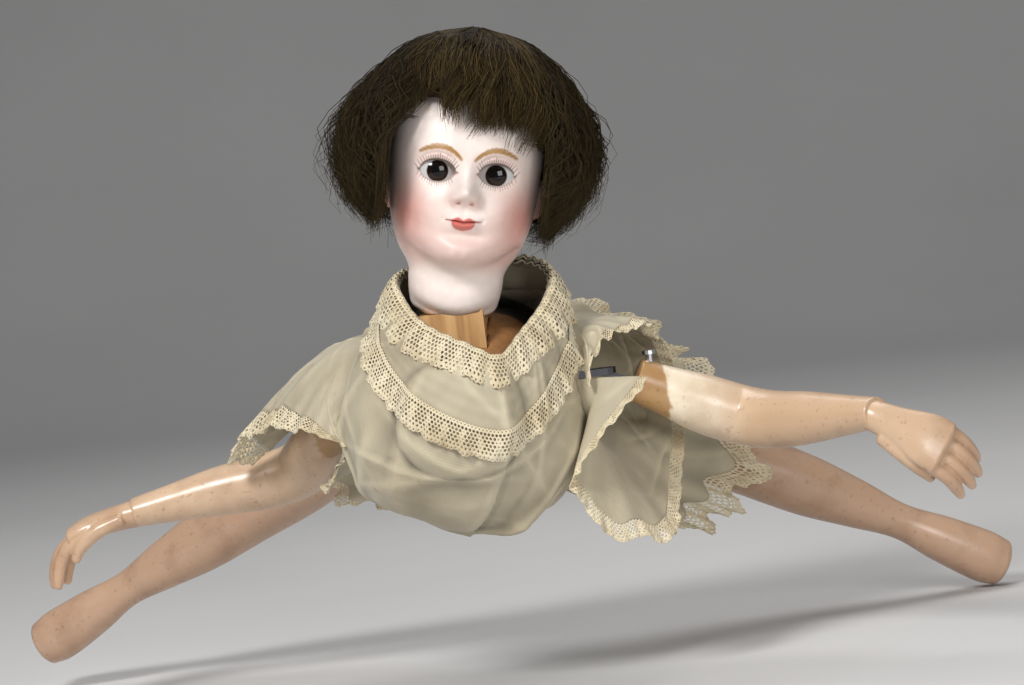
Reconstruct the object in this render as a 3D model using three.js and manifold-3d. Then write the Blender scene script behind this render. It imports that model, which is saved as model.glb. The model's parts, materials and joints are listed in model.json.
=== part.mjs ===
// Swimming doll: bisque head, cork body with a clockwork movement, wooden limbs and a short dress.
// Millimetres. Origin on the flat under the belly, +X to the doll's left, +Y to its feet, +Z up.
import * as THREE from "three";
import Module from "manifold-3d";

const wasm = await Module();
wasm.setup();

const rad = (deg) => (deg * Math.PI) / 180;

// Clearances
const GAP = 0.3;
const RUN = 0.1;

// Cork body
const BODY_FRONT = -76;
const BODY_REAR = 84;
const BODY_WALL = 4;
const BODY_SQUARENESS = 2.5;
const BODY_SPLIT_Z = 44;
const BODY_KEYS = [
  { y: BODY_FRONT, half: 22, low: 26, high: 64 },
  { y: -66, half: 37, low: 12, high: 75 },
  { y: -48, half: 45, low: 2, high: 84 },
  { y: -20, half: 46, low: -2, high: 88 },
  { y: 20, half: 46, low: -2, high: 86 },
  { y: 48, half: 45, low: 3, high: 76 },
  { y: 70, half: 43, low: 8, high: 64 },
  { y: BODY_REAR, half: 31, low: 17, high: 55 },
];

// Pivots of the limbs
const SHOULDER = { x: 34, y: -36 };
const HIP = { x: 28, y: 70 };
const PIN_R = 2;
const PIN_HEAD_R = 2.8;
const EAR_R = 5;

// Movement plates
const PLATE_T = 2;
const LOW_PLATE_Z = 24;
const TOP_PLATE_Z = 62;
const PILLAR_R = 2.2;
const PILLAR_SPOTS = [[16, -46], [-16, -46], [31, 24], [-31, 24]];

// Going train
const WHEEL_MODULE = 1.2;
const FLY_MODULE = 0.8;
const GREAT_TEETH = 40;
const PINION_TEETH = 10;
const FLY_WHEEL_TEETH = 24;
const FLY_PINION_TEETH = 8;
const WHEEL_T = 3;
const BARREL_Y = 14;
const BARREL_R = 20.5;
const BARREL_H = 19;
const BARREL_WALL = 1.5;
const ARBOR_R = 2;
const PIVOT_R = 1.2;
const CRANK_R = 6;
const CRANK_PIN_R = 1.4;
const ARM_CRANK_ANGLE = Math.PI * 1.25;
const RATCHET_TEETH = 12;
const BUSH_Z = 15;
const BUSH_R = 4.5;
const FLY_WHEEL_Z = 17;
const FLY_WHEEL_T = 1.6;
const FLY_ARBOR_R = 1.6;

// Levers
const LEVER_T = 3;
const LEVER_W = 8;
const ARM_LEVER_Z = 54;
const LEG_LEVER_Z = 32;
const TAIL = 13;

// Arms, in degrees back from straight out to the side, at rest
const ARM_BACK = { left: 54, right: 10 };
const ELBOW_BEND = 56;
const ARM_START = 40;
const ARM_ELBOW = 88;
const ARM_FORE = 76;
const ARM_TOP_Z = 50;
const ELBOW_Z = { left: 20, right: 26 };
const WRIST_Z = { left: 11, right: 27 };
const WRIST_HALF = { wide: 7.2, high: 6.6 };
const SCREW_R = 1.5;
const SCREW_HEAD = { r: 3, high: 1.6 };

// Hands: how far each turns out from the forearm, rolls about its own length and points down
const HAND_OUT = { left: 8, right: 22 };
const HAND_ROLL = { left: 0, right: 55 };
const HAND_DOWN = { left: 0, right: 24 };
const PALM = [[0, 0, 6.4, 5.6], [12, 1.5, 8.6, 5.8], [24, 4, 11.8, 5.4], [32, 7, 12.2, 4.6]];
const FINGER = [[22, 4, 2.9, 3.1], [33, 8.5, 3.1, 3.3], [40, 15, 2.9, 3.1], [43, 23, 2.6, 2.8],
  [44, 29, 1.9, 2]];
const FINGER_SPOTS = [[-8.6, 0.94], [-2.9, 1], [2.9, 1], [8.6, 0.92]];
const THUMB = [[8, 1, 3.2, 3.2], [19, 5, 3.6, 3.6], [27, 11, 3.2, 3.2], [30, 17, 2.2, 2.2]];
const THUMB_OFF = 10.5;

// Legs
const LEG_BACK = 14;
const LEG_START = 24;
const LEG_REACH = 210;
const LEG_DROP = { left: 84, right: 97 };
const LEG_LEVER_BEND = 18.5;
const LEG_LEVER_REACH = 40;
const LEG_STATIONS = [[0, 10.5, 11, 0], [0.06, 13.2, 13.6, 0], [0.22, 15.2, 15.6, 0], [0.36, 14.4, 14.8, 0],
  [0.5, 13.6, 14.2, 0], [0.62, 10.8, 11.4, 0], [0.73, 8.2, 8.4, -0.5], [0.83, 10.2, 10.8, -1.5],
  [0.93, 11.2, 12.2, -2.5], [0.985, 9.4, 10.6, -2.5], [1, 5.4, 6.2, -2.5]];

// Head, measured up from the bottom of the neck
const NECK_TOP_Z = 88;
const HEAD_Y = -52;
const HEAD_TILT = 12;
const HEAD_TURN = 6;
const CROWN = 112;
const HEAD_WALL = 3.5;
const CROWN_CUT = CROWN - 15;
const EYE_R = 10;
const EYE_X = 12.3;
const EYE_UP = 61;
const EYE_IN = 19.6;
const EYE_OPEN = { half: 7.4, rise: 4.6 };
const JAW = { half: 21, rise: 8, low: 28, high: 50 };

// Openings of the cork body
const NECK_BLOCK = { half: 14, front: -66, rear: -39, low: 68 };
const KEY_HOLE_R = 6;
const KEY_PLATE = { bore: KEY_HOLE_R - 2, rim: KEY_HOLE_R + 2.5, deep: 3, flange: 1.2 };
const SHOULDER_SLOT = { low: 50.2, high: 59, front: -46, rear: -6 };
const HIP_SLOT = { low: 29, high: 39, front: 61 };
const BOLT_R = 2.5;

// Movement plates
const LOW_PLATE_HALF = [[20, -52], [40, -42], [40, -30], [35, -18], [36, 30], [32, 56], [33, 66], [32, 74]];
const TOP_PLATE_HALF = [[20, -52], [39.5, -42], [39.5, -30], [35, -18], [36, 30], [26, 50], [8, 53]];
const BRIDGE_HALF = [[23, 55], [33, 65], [32, 75], [18, 77]];
const BRIDGE_Z = 42;
const BRIDGE_LEG_X = 21;
const BRIDGE_LEG_Y = 57.6;

// Spring, ratchet and click
const GREAT_Z = 28;
const SPRING_TURNS = 4;
const SPRING_T = 0.9;
const SPRING_STEPS = 10;
const SQUARE = 1.35;
const SQUARE_TOP = 77;
const RATCHET_T = 2;
const RATCHET_R = 9;
const CLICK_PIVOT = [15.5, BARREL_Y + 9];
const CLICK_TIP = [RATCHET_R + 1.3, BARREL_Y + 2.3];
const CLICK_W = 2.4;

// Cranks, rods and slide
const TIE_Z = 51;
const TIE_W = 5;
const ARM_ROD_Z = 48.4;
const ROD_T = 1.8;
const LEG_ROD_Z = 39.4;
const LEG_ROD_LENGTH = 18;
const SLIDE_Z = 36.2;
const SLIDE_T = 2.2;
const SLIDE_BACK = 12.2;
const STUD_X = 10;
const STUD_R = 1.3;
const ARM_DISC_Z = 44;
const LEG_DISC_Z = 33.5;
const ARM_PIN_TURN = rad(180);
const LEG_PIN_TURN = rad(62);
const FLY = { reach: 9, half: 0.4, low: 46, high: 56 };

// Lever tails and tongues
const ARM_MID = 21;
const TAIL_MID = 24;
const TAIL_PIN_R = 1.4;
const LEVER_REACH = 54;
const LEVER_BEND = 28;
const TONGUE_W = 6;
const TAIL_W = 5;

// Head and wig forms
const HEAD_WIDE = [[0, 12], [3, 17.2], [8, 19.2], [15, 20.2], [19, 20.4], [23, 22.2], [27, 24.9], [33, 27.6],
  [44, 30.6], [58, 32], [CROWN - 40, 33], [CROWN - 26, 31], [CROWN - 14, 25], [CROWN - 5, 14.5], [CROWN, 3]];
const HEAD_FRONT = [[0, 12], [3, 17], [8, 18.5], [15, 18.5], [20, 22], [23, 30], [28, 34], [36, 34],
  [44, 34.4], [58, 34.4], [CROWN - 42, 36], [CROWN - 30, 34], [CROWN - 17, 27], [CROWN - 5, 14], [CROWN, 3]];
const HEAD_BACK = [[0, 12], [3, 16], [8, 17.5], [15, 18], [22, 19], [32, 23], [44, 30], [58, 37],
  [CROWN - 40, 40], [CROWN - 26, 37], [CROWN - 14, 28], [CROWN - 5, 15], [CROWN, 3]];
const EAR = { x: 32, y: 3, z: 52 };
const WIG = { gap: 2, low: 33, high: CROWN + 11 };
const WIG_WIDE = [[0, 37], [0.14, 49], [0.4, 57.5], [0.6, 54], [0.7, 46.5], [0.84, 35.5], [0.95, 21], [1, 4]];
const WIG_DEEP = [[0, 30], [0.14, 44], [0.4, 52], [0.66, 50], [0.84, 38], [0.95, 22], [1, 4]];
const FACE_CUT = { half: 31, top: 78, back: 6 };

// Dress
const DRESS_OFF = 1;
const BODICE_T = 2.6;
const WAIST_Y = 30;
const CHEST = { y: -52, full: 1.5, spread: 26 };
const CHEST_MIDDLE = new THREE.Vector3(0, -22, 42);
const FRONT_ROUND = { from: -74, long: 15 };
const NECKLINE = [[17, -80, 74], [33, -67, 83], [42, -50, 98], [33, -30, 106], [8, -20, 107], [-14, -26, 107],
  [-21, -44, 105], [-19, -60, 99], [-8, -75, 85]];
const BODICE_HEM = [[2, -44, -5], [38, -38, 3], [52, 4, 30], [42, 29.6, 74], [6, 29.8, 90], [-30, 29.8, 86],
  [-50, 20, 62], [-54, 2, 30], [-44, -38, 14]];
const COLLAR_SPREAD = 0.25;
const ARMHOLE = { x: 36, front: -52, rear: 16, low: 36, high: 66 };
const FRONT_SLIT = 0.002;
const SKIRT_FOLDS = 22;
const SKIRT_T = 2;
const SKIRT_MIDDLE = 37;
const SKIRT_HEM = [
  [-58, 74, 66, -27], [-30, 106, 69, -22], [-8, 122, 69, -2], [20, 101, 69, 45], [45, 85, 66, 58],
  [65, 60, 64, 78], [90, 10, 64, 84], [135, -66, 62, 68], [180, -86, 59, 38], [210, -72, 57, 8],
  [238, -48, 55, -2],
];
const SLEEVE_T = 1.6;
const SLEEVES = {
  left: {
    narrow: 30, set: 18, off: 4.2, puff: 15,
    hem: [[-170, -72, -6, 17], [-140, -64, -28, 21], [-112, -52, -50, 36], [-80, -63.5, -48, 43],
      [-45, -78, -38, 47.5], [-10, -95, -15, 45], [30, -112, 8, 34], [75, -103, 22, 28]],
  },
  right: {
    narrow: 24, set: 8, off: 5.8, puff: 4,
    hem: [[-78, 54, -58, 50], [-58, 58, -55, 64], [-30, 66, -46, 70.5], [0, 79, -30, 72.5], [40, 86, -12, 65],
      [90, 90, 0, 51], [130, 91, -4, 26], [160, 87, -20, 2], [185, 81, -48, -20], [200, 68.5, -58, -14],
      [215, 55.5, -62, -10], [238, 44, -66, 6.5], [252, 46, -68, 18], [272, 81, -64, 53.5]],
  },
};

const group = new THREE.Group();

const skins = {
  bisque: [0xf0d2c4, 0.35, 0],
  glass: [0x1a0f0a, 0.05, 0],
  hair: [0x3a2414, 0.7, 0],
  cork: [0x9a6a3c, 0.9, 0],
  black: [0x16181c, 0.5, 0],
  wood: [0xc08a50, 0.6, 0],
  flesh: [0xd9a07c, 0.35, 0],
  iron: [0x1c1c1e, 0.45, 0.9],
  steel: [0xa9adb2, 0.3, 1],
  brass: [0xc29a45, 0.35, 1],
  cloth: [0xb4b398, 0.8, 0],
};

/** Turn a closed geometry into a solid for the boolean operations, joining equal corners. */
function solid(geometry) {
  const points = geometry.attributes.position;
  const corners = new Map();
  const xyz = [];
  const ids = [];
  for (let i = 0; i < points.count; i += 1) {
    const p = [points.getX(i), points.getY(i), points.getZ(i)];
    const key = p.map((c) => Math.round(c * 1e4)).join();
    if (!corners.has(key)) {
      corners.set(key, xyz.length / 3);
      xyz.push(...p);
    }
    ids.push(corners.get(key));
  }
  const order = geometry.index ? Array.from(geometry.index.array) : ids.map((_, i) => i);
  const faces = [];
  for (let i = 0; i < order.length; i += 3) {
    const [a, b, c] = [ids[order[i]], ids[order[i + 1]], ids[order[i + 2]]];
    if (a !== b && b !== c && a !== c) faces.push(a, b, c);
  }
  const mesh = new wasm.Mesh({
    numProp: 3,
    vertProperties: new Float32Array(xyz),
    triVerts: new Uint32Array(faces),
  });
  return new wasm.Manifold(mesh);
}

/** Add a finished solid to the doll as a named mesh with its own material. */
function put(name, body, skin) {
  const mesh = body.getMesh();
  const geometry = new THREE.BufferGeometry();
  geometry.setAttribute("position", new THREE.BufferAttribute(new Float32Array(mesh.vertProperties), 3));
  geometry.setIndex(new THREE.BufferAttribute(new Uint32Array(mesh.triVerts), 1));
  geometry.computeVertexNormals();
  const [color, roughness, metalness] = skins[skin];
  const part = new THREE.Mesh(geometry, new THREE.MeshStandardMaterial({ color, roughness, metalness }));
  part.name = name;
  group.add(part);
}

/** Upright cylinder between two heights. */
function rod(x, y, low, high, r, sides = 10) {
  const shape = new THREE.CylinderGeometry(r, r, high - low, sides);
  shape.rotateX(Math.PI / 2);
  shape.translate(x, y, (low + high) / 2);
  return solid(shape);
}

/** Box from its lowest to its highest corner. */
function block(x0, y0, z0, x1, y1, z1) {
  const shape = new THREE.BoxGeometry(x1 - x0, y1 - y0, z1 - z0);
  shape.translate((x0 + x1) / 2, (y0 + y1) / 2, (z0 + z1) / 2);
  return solid(shape);
}

/** Flat outline of [x, y] corners raised from one height to another. */
function slab(corners, low, high) {
  const outline = new THREE.Shape(corners.map(([x, y]) => new THREE.Vector2(x, y)));
  const shape = new THREE.ExtrudeGeometry(outline, { depth: high - low, bevelEnabled: false });
  shape.translate(0, 0, low);
  return solid(shape);
}

/** Turned shape about an upright axis from [radius, height] corners. */
function turned(corners, sides = 24) {
  const shape = new THREE.LatheGeometry(corners.map(([r, z]) => new THREE.Vector2(r, z)), sides);
  shape.rotateX(Math.PI / 2);
  return solid(shape);
}

/** Solid from corners and faces, turned to face outwards. */
function closed(xyz, faces) {
  const shape = new THREE.BufferGeometry();
  shape.setAttribute("position", new THREE.BufferAttribute(new Float32Array(xyz), 3));
  shape.setIndex(faces);
  const made = solid(shape);
  if (made.volume() > 0) return made;
  shape.setIndex(faces.map((_, i) => faces[i - (i % 3) + [0, 2, 1][i % 3]]));
  return solid(shape);
}

/** Closed skin over rings of points, with a fan over each end. */
function skin(rings) {
  const sides = rings[0].length;
  const xyz = [];
  const faces = [];
  rings.forEach((ring) => ring.forEach((p) => xyz.push(...p)));
  for (let r = 0; r + 1 < rings.length; r += 1) {
    for (let s = 0; s < sides; s += 1) {
      const a = r * sides + s;
      const b = r * sides + ((s + 1) % sides);
      faces.push(a, b, b + sides, a, b + sides, a + sides);
    }
  }
  [0, rings.length - 1].forEach((r) => {
    const hub = xyz.length / 3;
    const mid = [0, 1, 2].map((k) => rings[r].reduce((sum, p) => sum + p[k], 0) / sides);
    xyz.push(...mid);
    for (let s = 0; s < sides; s += 1) {
      const a = r * sides + s;
      const b = r * sides + ((s + 1) % sides);
      if (r === 0) faces.push(hub, b, a);
      else faces.push(hub, a, b);
    }
  });
  return closed(xyz, faces);
}

/** Cloth of a given thickness: a grid of points and the same grid moved in along its normals. */
function cloth(point, across, along, thickness) {
  const wide = across + 1;
  const sheet = [];
  for (let k = 0; k < wide * (along + 1); k += 1) {
    sheet.push(new THREE.Vector3(...point((k % wide) / across, Math.floor(k / wide) / along)));
  }
  const at = (i, j) => sheet[Math.min(along, Math.max(0, j)) * wide + Math.min(across, Math.max(0, i))];
  const xyz = sheet.flatMap((p) => [p.x, p.y, p.z]);
  sheet.forEach((p, k) => {
    const i = k % wide;
    const j = Math.floor(k / wide);
    const u = at(i + 1, j).clone().sub(at(i - 1, j));
    const v = at(i, j + 1).clone().sub(at(i, j - 1));
    const n = u.cross(v).normalize().multiplyScalar(thickness);
    xyz.push(p.x - n.x, p.y - n.y, p.z - n.z);
  });
  const under = sheet.length;
  const faces = [];
  const quad = (a, b, c, d) => faces.push(a, b, c, a, c, d);
  for (let j = 0; j < along; j += 1) {
    for (let i = 0; i < across; i += 1) {
      const a = j * wide + i;
      quad(a, a + 1, a + 1 + wide, a + wide);
      quad(under + a, under + a + wide, under + a + 1 + wide, under + a + 1);
    }
  }
  for (let i = 0; i < across; i += 1) {
    const top = along * wide + i;
    quad(i, under + i, under + i + 1, i + 1);
    quad(top, top + 1, under + top + 1, under + top);
  }
  for (let j = 0; j < along; j += 1) {
    const a = j * wide;
    const b = a + across;
    quad(a, a + wide, under + a + wide, under + a);
    quad(b, under + b, under + b + wide, b + wide);
  }
  return closed(xyz, faces);
}

/** Smooth value between keys, for a list of [position, value]. */
function between(keys, x) {
  let k = 0;
  while (k + 2 < keys.length && x > keys[k + 1][0]) k += 1;
  const [x0, v0] = keys[k];
  const [x1, v1] = keys[k + 1];
  const slope = (i) => {
    const a = keys[Math.max(0, i - 1)];
    const b = keys[Math.min(keys.length - 1, i + 1)];
    return (b[1] - a[1]) / (b[0] - a[0]);
  };
  const h = x1 - x0;
  const t = Math.min(1, Math.max(0, (x - x0) / h));
  const s = t * t;
  const c = s * t;
  return (2 * c - 3 * s + 1) * v0 + (c - 2 * s + t) * h * slope(k)
    + (3 * s - 2 * c) * v1 + (c - s) * h * slope(k + 1);
}

/** Half width, half height and middle height of the body's section, grown by a distance. */
function bodySection(y, grow) {
  const inside = Math.min(BODY_REAR, Math.max(BODY_FRONT, y));
  const key = (name) => between(BODY_KEYS.map((k) => [k.y, k[name]]), inside);
  const [low, high] = [key("low"), key("high")];
  return [key("half") + grow, (high - low) / 2 + grow, (high + low) / 2];
}

/** Point on the body's section: `turn` runs from the doll's left over its back. */
function bodyPoint(y, turn, grow) {
  const [half, rise, middle] = bodySection(y, grow);
  const c = Math.cos(turn);
  const s = Math.sin(turn);
  const power = 2 / BODY_SQUARENESS;
  return [
    half * Math.sign(c) * Math.abs(c) ** power,
    y,
    middle + rise * Math.sign(s) * Math.abs(s) ** power,
  ];
}

/** The whole body grown by a distance, as one solid. */
function bodyForm(grow, sides, rows) {
  const rings = [];
  for (let r = 0; r <= rows; r += 1) {
    const y = BODY_FRONT - grow + ((BODY_REAR - BODY_FRONT + 2 * grow) * r) / rows;
    const ring = [];
    for (let s = 0; s < sides; s += 1) ring.push(bodyPoint(y, (2 * Math.PI * s) / sides, grow));
    rings.push(ring);
  }
  return skin(rings);
}

/** Outline of a toothed wheel with straight-sided teeth and generous backlash. */
function gearOutline(teeth, module, phase) {
  const pitch = (teeth * module) / 2;
  const points = [];
  for (let i = 0; i < teeth; i += 1) {
    [[-0.3, -1.05], [-0.13, 0.75], [0.13, 0.75], [0.3, -1.05]].forEach(([share, depth]) => {
      const turn = phase + (2 * Math.PI * (i + share)) / teeth;
      const r = pitch + depth * module;
      points.push([r * Math.cos(turn), r * Math.sin(turn)]);
    });
  }
  return points;
}

/** Toothed wheel standing on a height, with a bore left to its arbor. */
function gear(teeth, module, phase, low, thickness) {
  return slab(gearOutline(teeth, module, phase), low, low + thickness);
}

/** Flat bar with round ends between two spots. */
function bar(from, to, width, low, high, sides = 5) {
  const turn = Math.atan2(to[1] - from[1], to[0] - from[0]);
  const corners = [];
  [[to, -0.5], [from, 0.5]].forEach(([spot, start]) => {
    for (let i = 0; i <= sides; i += 1) {
      const a = turn + Math.PI * (start + i / sides);
      corners.push([spot[0] + (width / 2) * Math.cos(a), spot[1] + (width / 2) * Math.sin(a)]);
    }
  });
  return slab(corners, low, high);
}

const hole = (body, x, y, r, sides = 8) => body.subtract(rod(x, y, -200, 400, r, sides));
const bearing = (body, x, y, r) => hole(body, x, y, r + RUN, 12);

// Cork body: two hollow halves that meet at the split, open at the shoulders, hips, neck and key.
const corkWall = bodyForm(0, 24, 12).subtract(bodyForm(-BODY_WALL, 20, 8));
let cork = corkWall.subtract(block(-60, -90, -20, 60, 100, 0));
[-1, 1].forEach((side) => {
  const near = Math.min(side * 30, side * 70);
  const far = Math.max(side * 30, side * 70);
  const slot = SHOULDER_SLOT;
  cork = cork.subtract(block(near, slot.front, slot.low, far, slot.rear, slot.high));
  const inner = Math.min(side * 20, side * 70);
  const outer = Math.max(side * 20, side * 70);
  cork = cork.subtract(block(inner, HIP_SLOT.front, HIP_SLOT.low, outer, BODY_REAR + 20, HIP_SLOT.high));
});
const blockHole = block(-NECK_BLOCK.half - GAP, NECK_BLOCK.front - GAP, NECK_BLOCK.low - 6,
  NECK_BLOCK.half + GAP, NECK_BLOCK.rear + GAP, NECK_TOP_Z + 20);
cork = cork.subtract(blockHole);
cork = cork.subtract(rod(0, BARREL_Y, 70, 100, KEY_HOLE_R));
const backZ = bodyPoint(BARREL_Y, Math.PI / 2, 0)[2];
const plateFoot = backZ - KEY_PLATE.deep;
const plateFlange = backZ - KEY_PLATE.flange;
const keyPlate = turned([
  [KEY_PLATE.bore, plateFoot], [KEY_HOLE_R - GAP, plateFoot], [KEY_HOLE_R - GAP, plateFlange],
  [KEY_PLATE.rim, plateFlange], [KEY_PLATE.rim, backZ], [KEY_PLATE.bore, backZ], [KEY_PLATE.bore, plateFoot],
], 16);
put("key_plate", keyPlate.translate([0, BARREL_Y, 0]), "brass");
cork = cork.subtract(rod(0, BARREL_Y, plateFlange - GAP, backZ + 20, KEY_PLATE.rim + GAP, 16));
const belowSplit = block(-90, -120, -50, 90, 120, BODY_SPLIT_Z - GAP / 2);
const aboveSplit = block(-90, -120, BODY_SPLIT_Z + GAP / 2, 90, 120, 200);
put("torso_belly_shell", cork.intersect(belowSplit), "black");
put("torso_back_shell", cork.intersect(aboveSplit), "black");

// Movement plates and the pillars between them.
const crankArm = [
  Math.cos(ARM_CRANK_ANGLE) * 30,
  BARREL_Y + Math.sin(ARM_CRANK_ANGLE) * 30,
];
const crankLeg = [0, BARREL_Y + 30];
const flySpot = [((FLY_WHEEL_TEETH + FLY_PINION_TEETH) * FLY_MODULE) / 2, crankLeg[1]];
const mirrored = (half) => [...half, ...half.slice().reverse().map(([x, y]) => [-x, y])];
const hollow = bodyForm(-BODY_WALL - 1, 20, 8);
let lowPlate = slab(mirrored(LOW_PLATE_HALF), LOW_PLATE_Z, LOW_PLATE_Z + PLATE_T).intersect(hollow);
let topPlate = slab(mirrored(TOP_PLATE_HALF), TOP_PLATE_Z, TOP_PLATE_Z + PLATE_T).intersect(hollow);
PILLAR_SPOTS.forEach(([x, y], i) => {
  const body = rod(x, y, LOW_PLATE_Z + PLATE_T + GAP, TOP_PLATE_Z - GAP, PILLAR_R + 0.8, 8);
  const tenon = rod(x, y, LOW_PLATE_Z, TOP_PLATE_Z + PLATE_T, PILLAR_R - 0.6, 8);
  put(`plate_pillar_${i + 1}`, body.add(tenon), "brass");
  lowPlate = hole(lowPlate, x, y, PILLAR_R - 0.3);
  topPlate = hole(topPlate, x, y, PILLAR_R - 0.3);
});
[-1, 1].forEach((side) => {
  lowPlate = hole(lowPlate, side * SHOULDER.x, SHOULDER.y, PIN_R + GAP);
  topPlate = hole(topPlate, side * SHOULDER.x, SHOULDER.y, PIN_R + GAP);
  lowPlate = hole(lowPlate, side * HIP.x, HIP.y, PIN_R + GAP);
});
[[crankArm, BUSH_Z], [crankLeg, FLY_WHEEL_Z + FLY_WHEEL_T + GAP]].forEach(([spot, foot]) => {
  lowPlate = bearing(lowPlate.add(rod(...spot, foot, LOW_PLATE_Z + 1, BUSH_R, 12)), ...spot, ARBOR_R);
});
lowPlate = bearing(lowPlate, ...flySpot, FLY_ARBOR_R);
topPlate = bearing(topPlate, ...flySpot, PIVOT_R);
lowPlate = bearing(lowPlate, 0, BARREL_Y, PIVOT_R);
topPlate = bearing(topPlate, 0, BARREL_Y, ARBOR_R);

// Bridge over the hips, carrying the hip pins and the guide slots of the kick slide.
const CROSSBAR_Y = HIP.y + TAIL * Math.sin(rad(TAIL_MID));
let bridge = slab(mirrored(BRIDGE_HALF), BRIDGE_Z, BRIDGE_Z + PLATE_T).intersect(hollow);
[-1, 1].forEach((side) => {
  const stand = rod(side * BRIDGE_LEG_X, BRIDGE_LEG_Y, LOW_PLATE_Z + PLATE_T + GAP, BRIDGE_Z + 0.5, 1.8, 10);
  bridge = hole(bridge, side * HIP.x, HIP.y, PIN_R + GAP).add(stand);
  const front = [side * STUD_X, CROSSBAR_Y - SLIDE_BACK];
  const rear = [side * STUD_X, CROSSBAR_Y + 0.6];
  bridge = bridge.subtract(bar(front, rear, 2 * STUD_R + 0.6, BRIDGE_Z - 1, BRIDGE_Z + PLATE_T + 1));
});
put("hip_bridge", bridge, "brass");

// Pins of the shoulders and hips, held in the plates.
["left", "right"].forEach((name) => {
  const side = name === "left" ? -1 : 1;
  const top = TOP_PLATE_Z + PLATE_T;
  const shoulder = rod(side * SHOULDER.x, SHOULDER.y, LOW_PLATE_Z - 0.5, top + 1.4, PIN_R);
  const cap = rod(side * SHOULDER.x, SHOULDER.y, top + GAP, top + 1.8, PIN_HEAD_R, 12);
  put(`${name}_shoulder_pin`, shoulder.add(cap), "steel");
  const hipTop = BRIDGE_Z + PLATE_T;
  const hip = rod(side * HIP.x, HIP.y, LOW_PLATE_Z + 0.2, hipTop + 1.4, PIN_R);
  const hipCap = rod(side * HIP.x, HIP.y, hipTop + GAP, hipTop + 1.8, PIN_HEAD_R, 12);
  put(`${name}_hip_pin`, hip.add(hipCap), "steel");
});

// Mainspring barrel with the great wheel, its cover, spring and winding arbor.
const drumLow = GREAT_Z + WHEEL_T - 0.5;
const drumTop = drumLow + BARREL_H;
const atBarrel = (body) => body.translate([0, BARREL_Y, 0]);
const greatPhase = ARM_CRANK_ANGLE;
const greatWheel = gear(GREAT_TEETH, WHEEL_MODULE, greatPhase, GREAT_Z, WHEEL_T);
const drum = turned([
  [0, GREAT_Z + 0.2], [BARREL_R, GREAT_Z + 0.2], [BARREL_R, drumTop],
  [BARREL_R - BARREL_WALL, drumTop], [BARREL_R - BARREL_WALL, drumLow + 0.5], [0, drumLow + 0.5],
], 20);
put("mainspring_barrel", atBarrel(bearing(greatWheel.add(drum), 0, 0, ARBOR_R)), "brass");
const cover = turned([[0, drumTop + GAP], [BARREL_R, drumTop + GAP], [BARREL_R, drumTop + 1.6],
  [0, drumTop + 1.6]], 20);
put("barrel_cover", atBarrel(bearing(cover, 0, 0, ARBOR_R)), "brass");
const springEdge = [];
const springBack = [];
for (let i = 0; i <= SPRING_TURNS * SPRING_STEPS; i += 1) {
  const share = i / (SPRING_TURNS * SPRING_STEPS);
  const turn = share * SPRING_TURNS * 2 * Math.PI;
  const r = ARBOR_R + 1.2 + share * (BARREL_R - BARREL_WALL - ARBOR_R - 3);
  springEdge.push([r * Math.cos(turn), r * Math.sin(turn)]);
  springBack.unshift([(r + SPRING_T) * Math.cos(turn), (r + SPRING_T) * Math.sin(turn)]);
}
put("mainspring", atBarrel(slab([...springEdge, ...springBack], drumLow + 1, drumTop - 0.5)), "steel");
const topFace = TOP_PLATE_Z + PLATE_T;
const winding = rod(0, 0, LOW_PLATE_Z + PLATE_T + GAP, topFace + 4, ARBOR_R)
  .add(rod(0, 0, LOW_PLATE_Z, LOW_PLATE_Z + 4, PIVOT_R, 12))
  .add(block(-SQUARE, -SQUARE, topFace, SQUARE, SQUARE, SQUARE_TOP));
put("winding_arbor", atBarrel(winding), "steel");
const ratchetOutline = [];
for (let i = 0; i < RATCHET_TEETH; i += 1) {
  const step = (2 * Math.PI) / RATCHET_TEETH;
  ratchetOutline.push([RATCHET_R * Math.cos(i * step), RATCHET_R * Math.sin(i * step)]);
  const root = RATCHET_R - 1.8;
  ratchetOutline.push([root * Math.cos(i * step + 0.08), root * Math.sin(i * step + 0.08)]);
}
const ratchet = slab(ratchetOutline, topFace + GAP, topFace + GAP + RATCHET_T);
put("ratchet_wheel", atBarrel(bearing(ratchet, 0, 0, ARBOR_R)), "steel");
const ratchetLow = topFace + GAP;
const click = bar(CLICK_PIVOT, CLICK_TIP, CLICK_W, ratchetLow, ratchetLow + RATCHET_T, 6)
  .add(rod(...CLICK_PIVOT, ratchetLow, ratchetLow + RATCHET_T, CLICK_W, 12));
const ratchetReach = atBarrel(rod(0, 0, topFace, topFace + 4, RATCHET_R + 0.15, 40));
put("click", bearing(click.subtract(ratchetReach), ...CLICK_PIVOT, 1), "steel");
put("click_post", rod(...CLICK_PIVOT, TOP_PLATE_Z + 0.2, topFace + 3.6, 1, 12), "steel");
topPlate = hole(topPlate, ...CLICK_PIVOT, 1 + GAP);
put("click_spring", bar([21, BARREL_Y + 2], [16.2, BARREL_Y + 5.2], 0.9, topFace + GAP, topFace + 2, 4)
  .add(rod(21.5, BARREL_Y + 1.6, topFace + GAP, topFace + 2.4, 1.6, 10)), "steel");
put("low_plate", lowPlate, "brass");
put("top_plate", topPlate, "brass");

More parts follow.
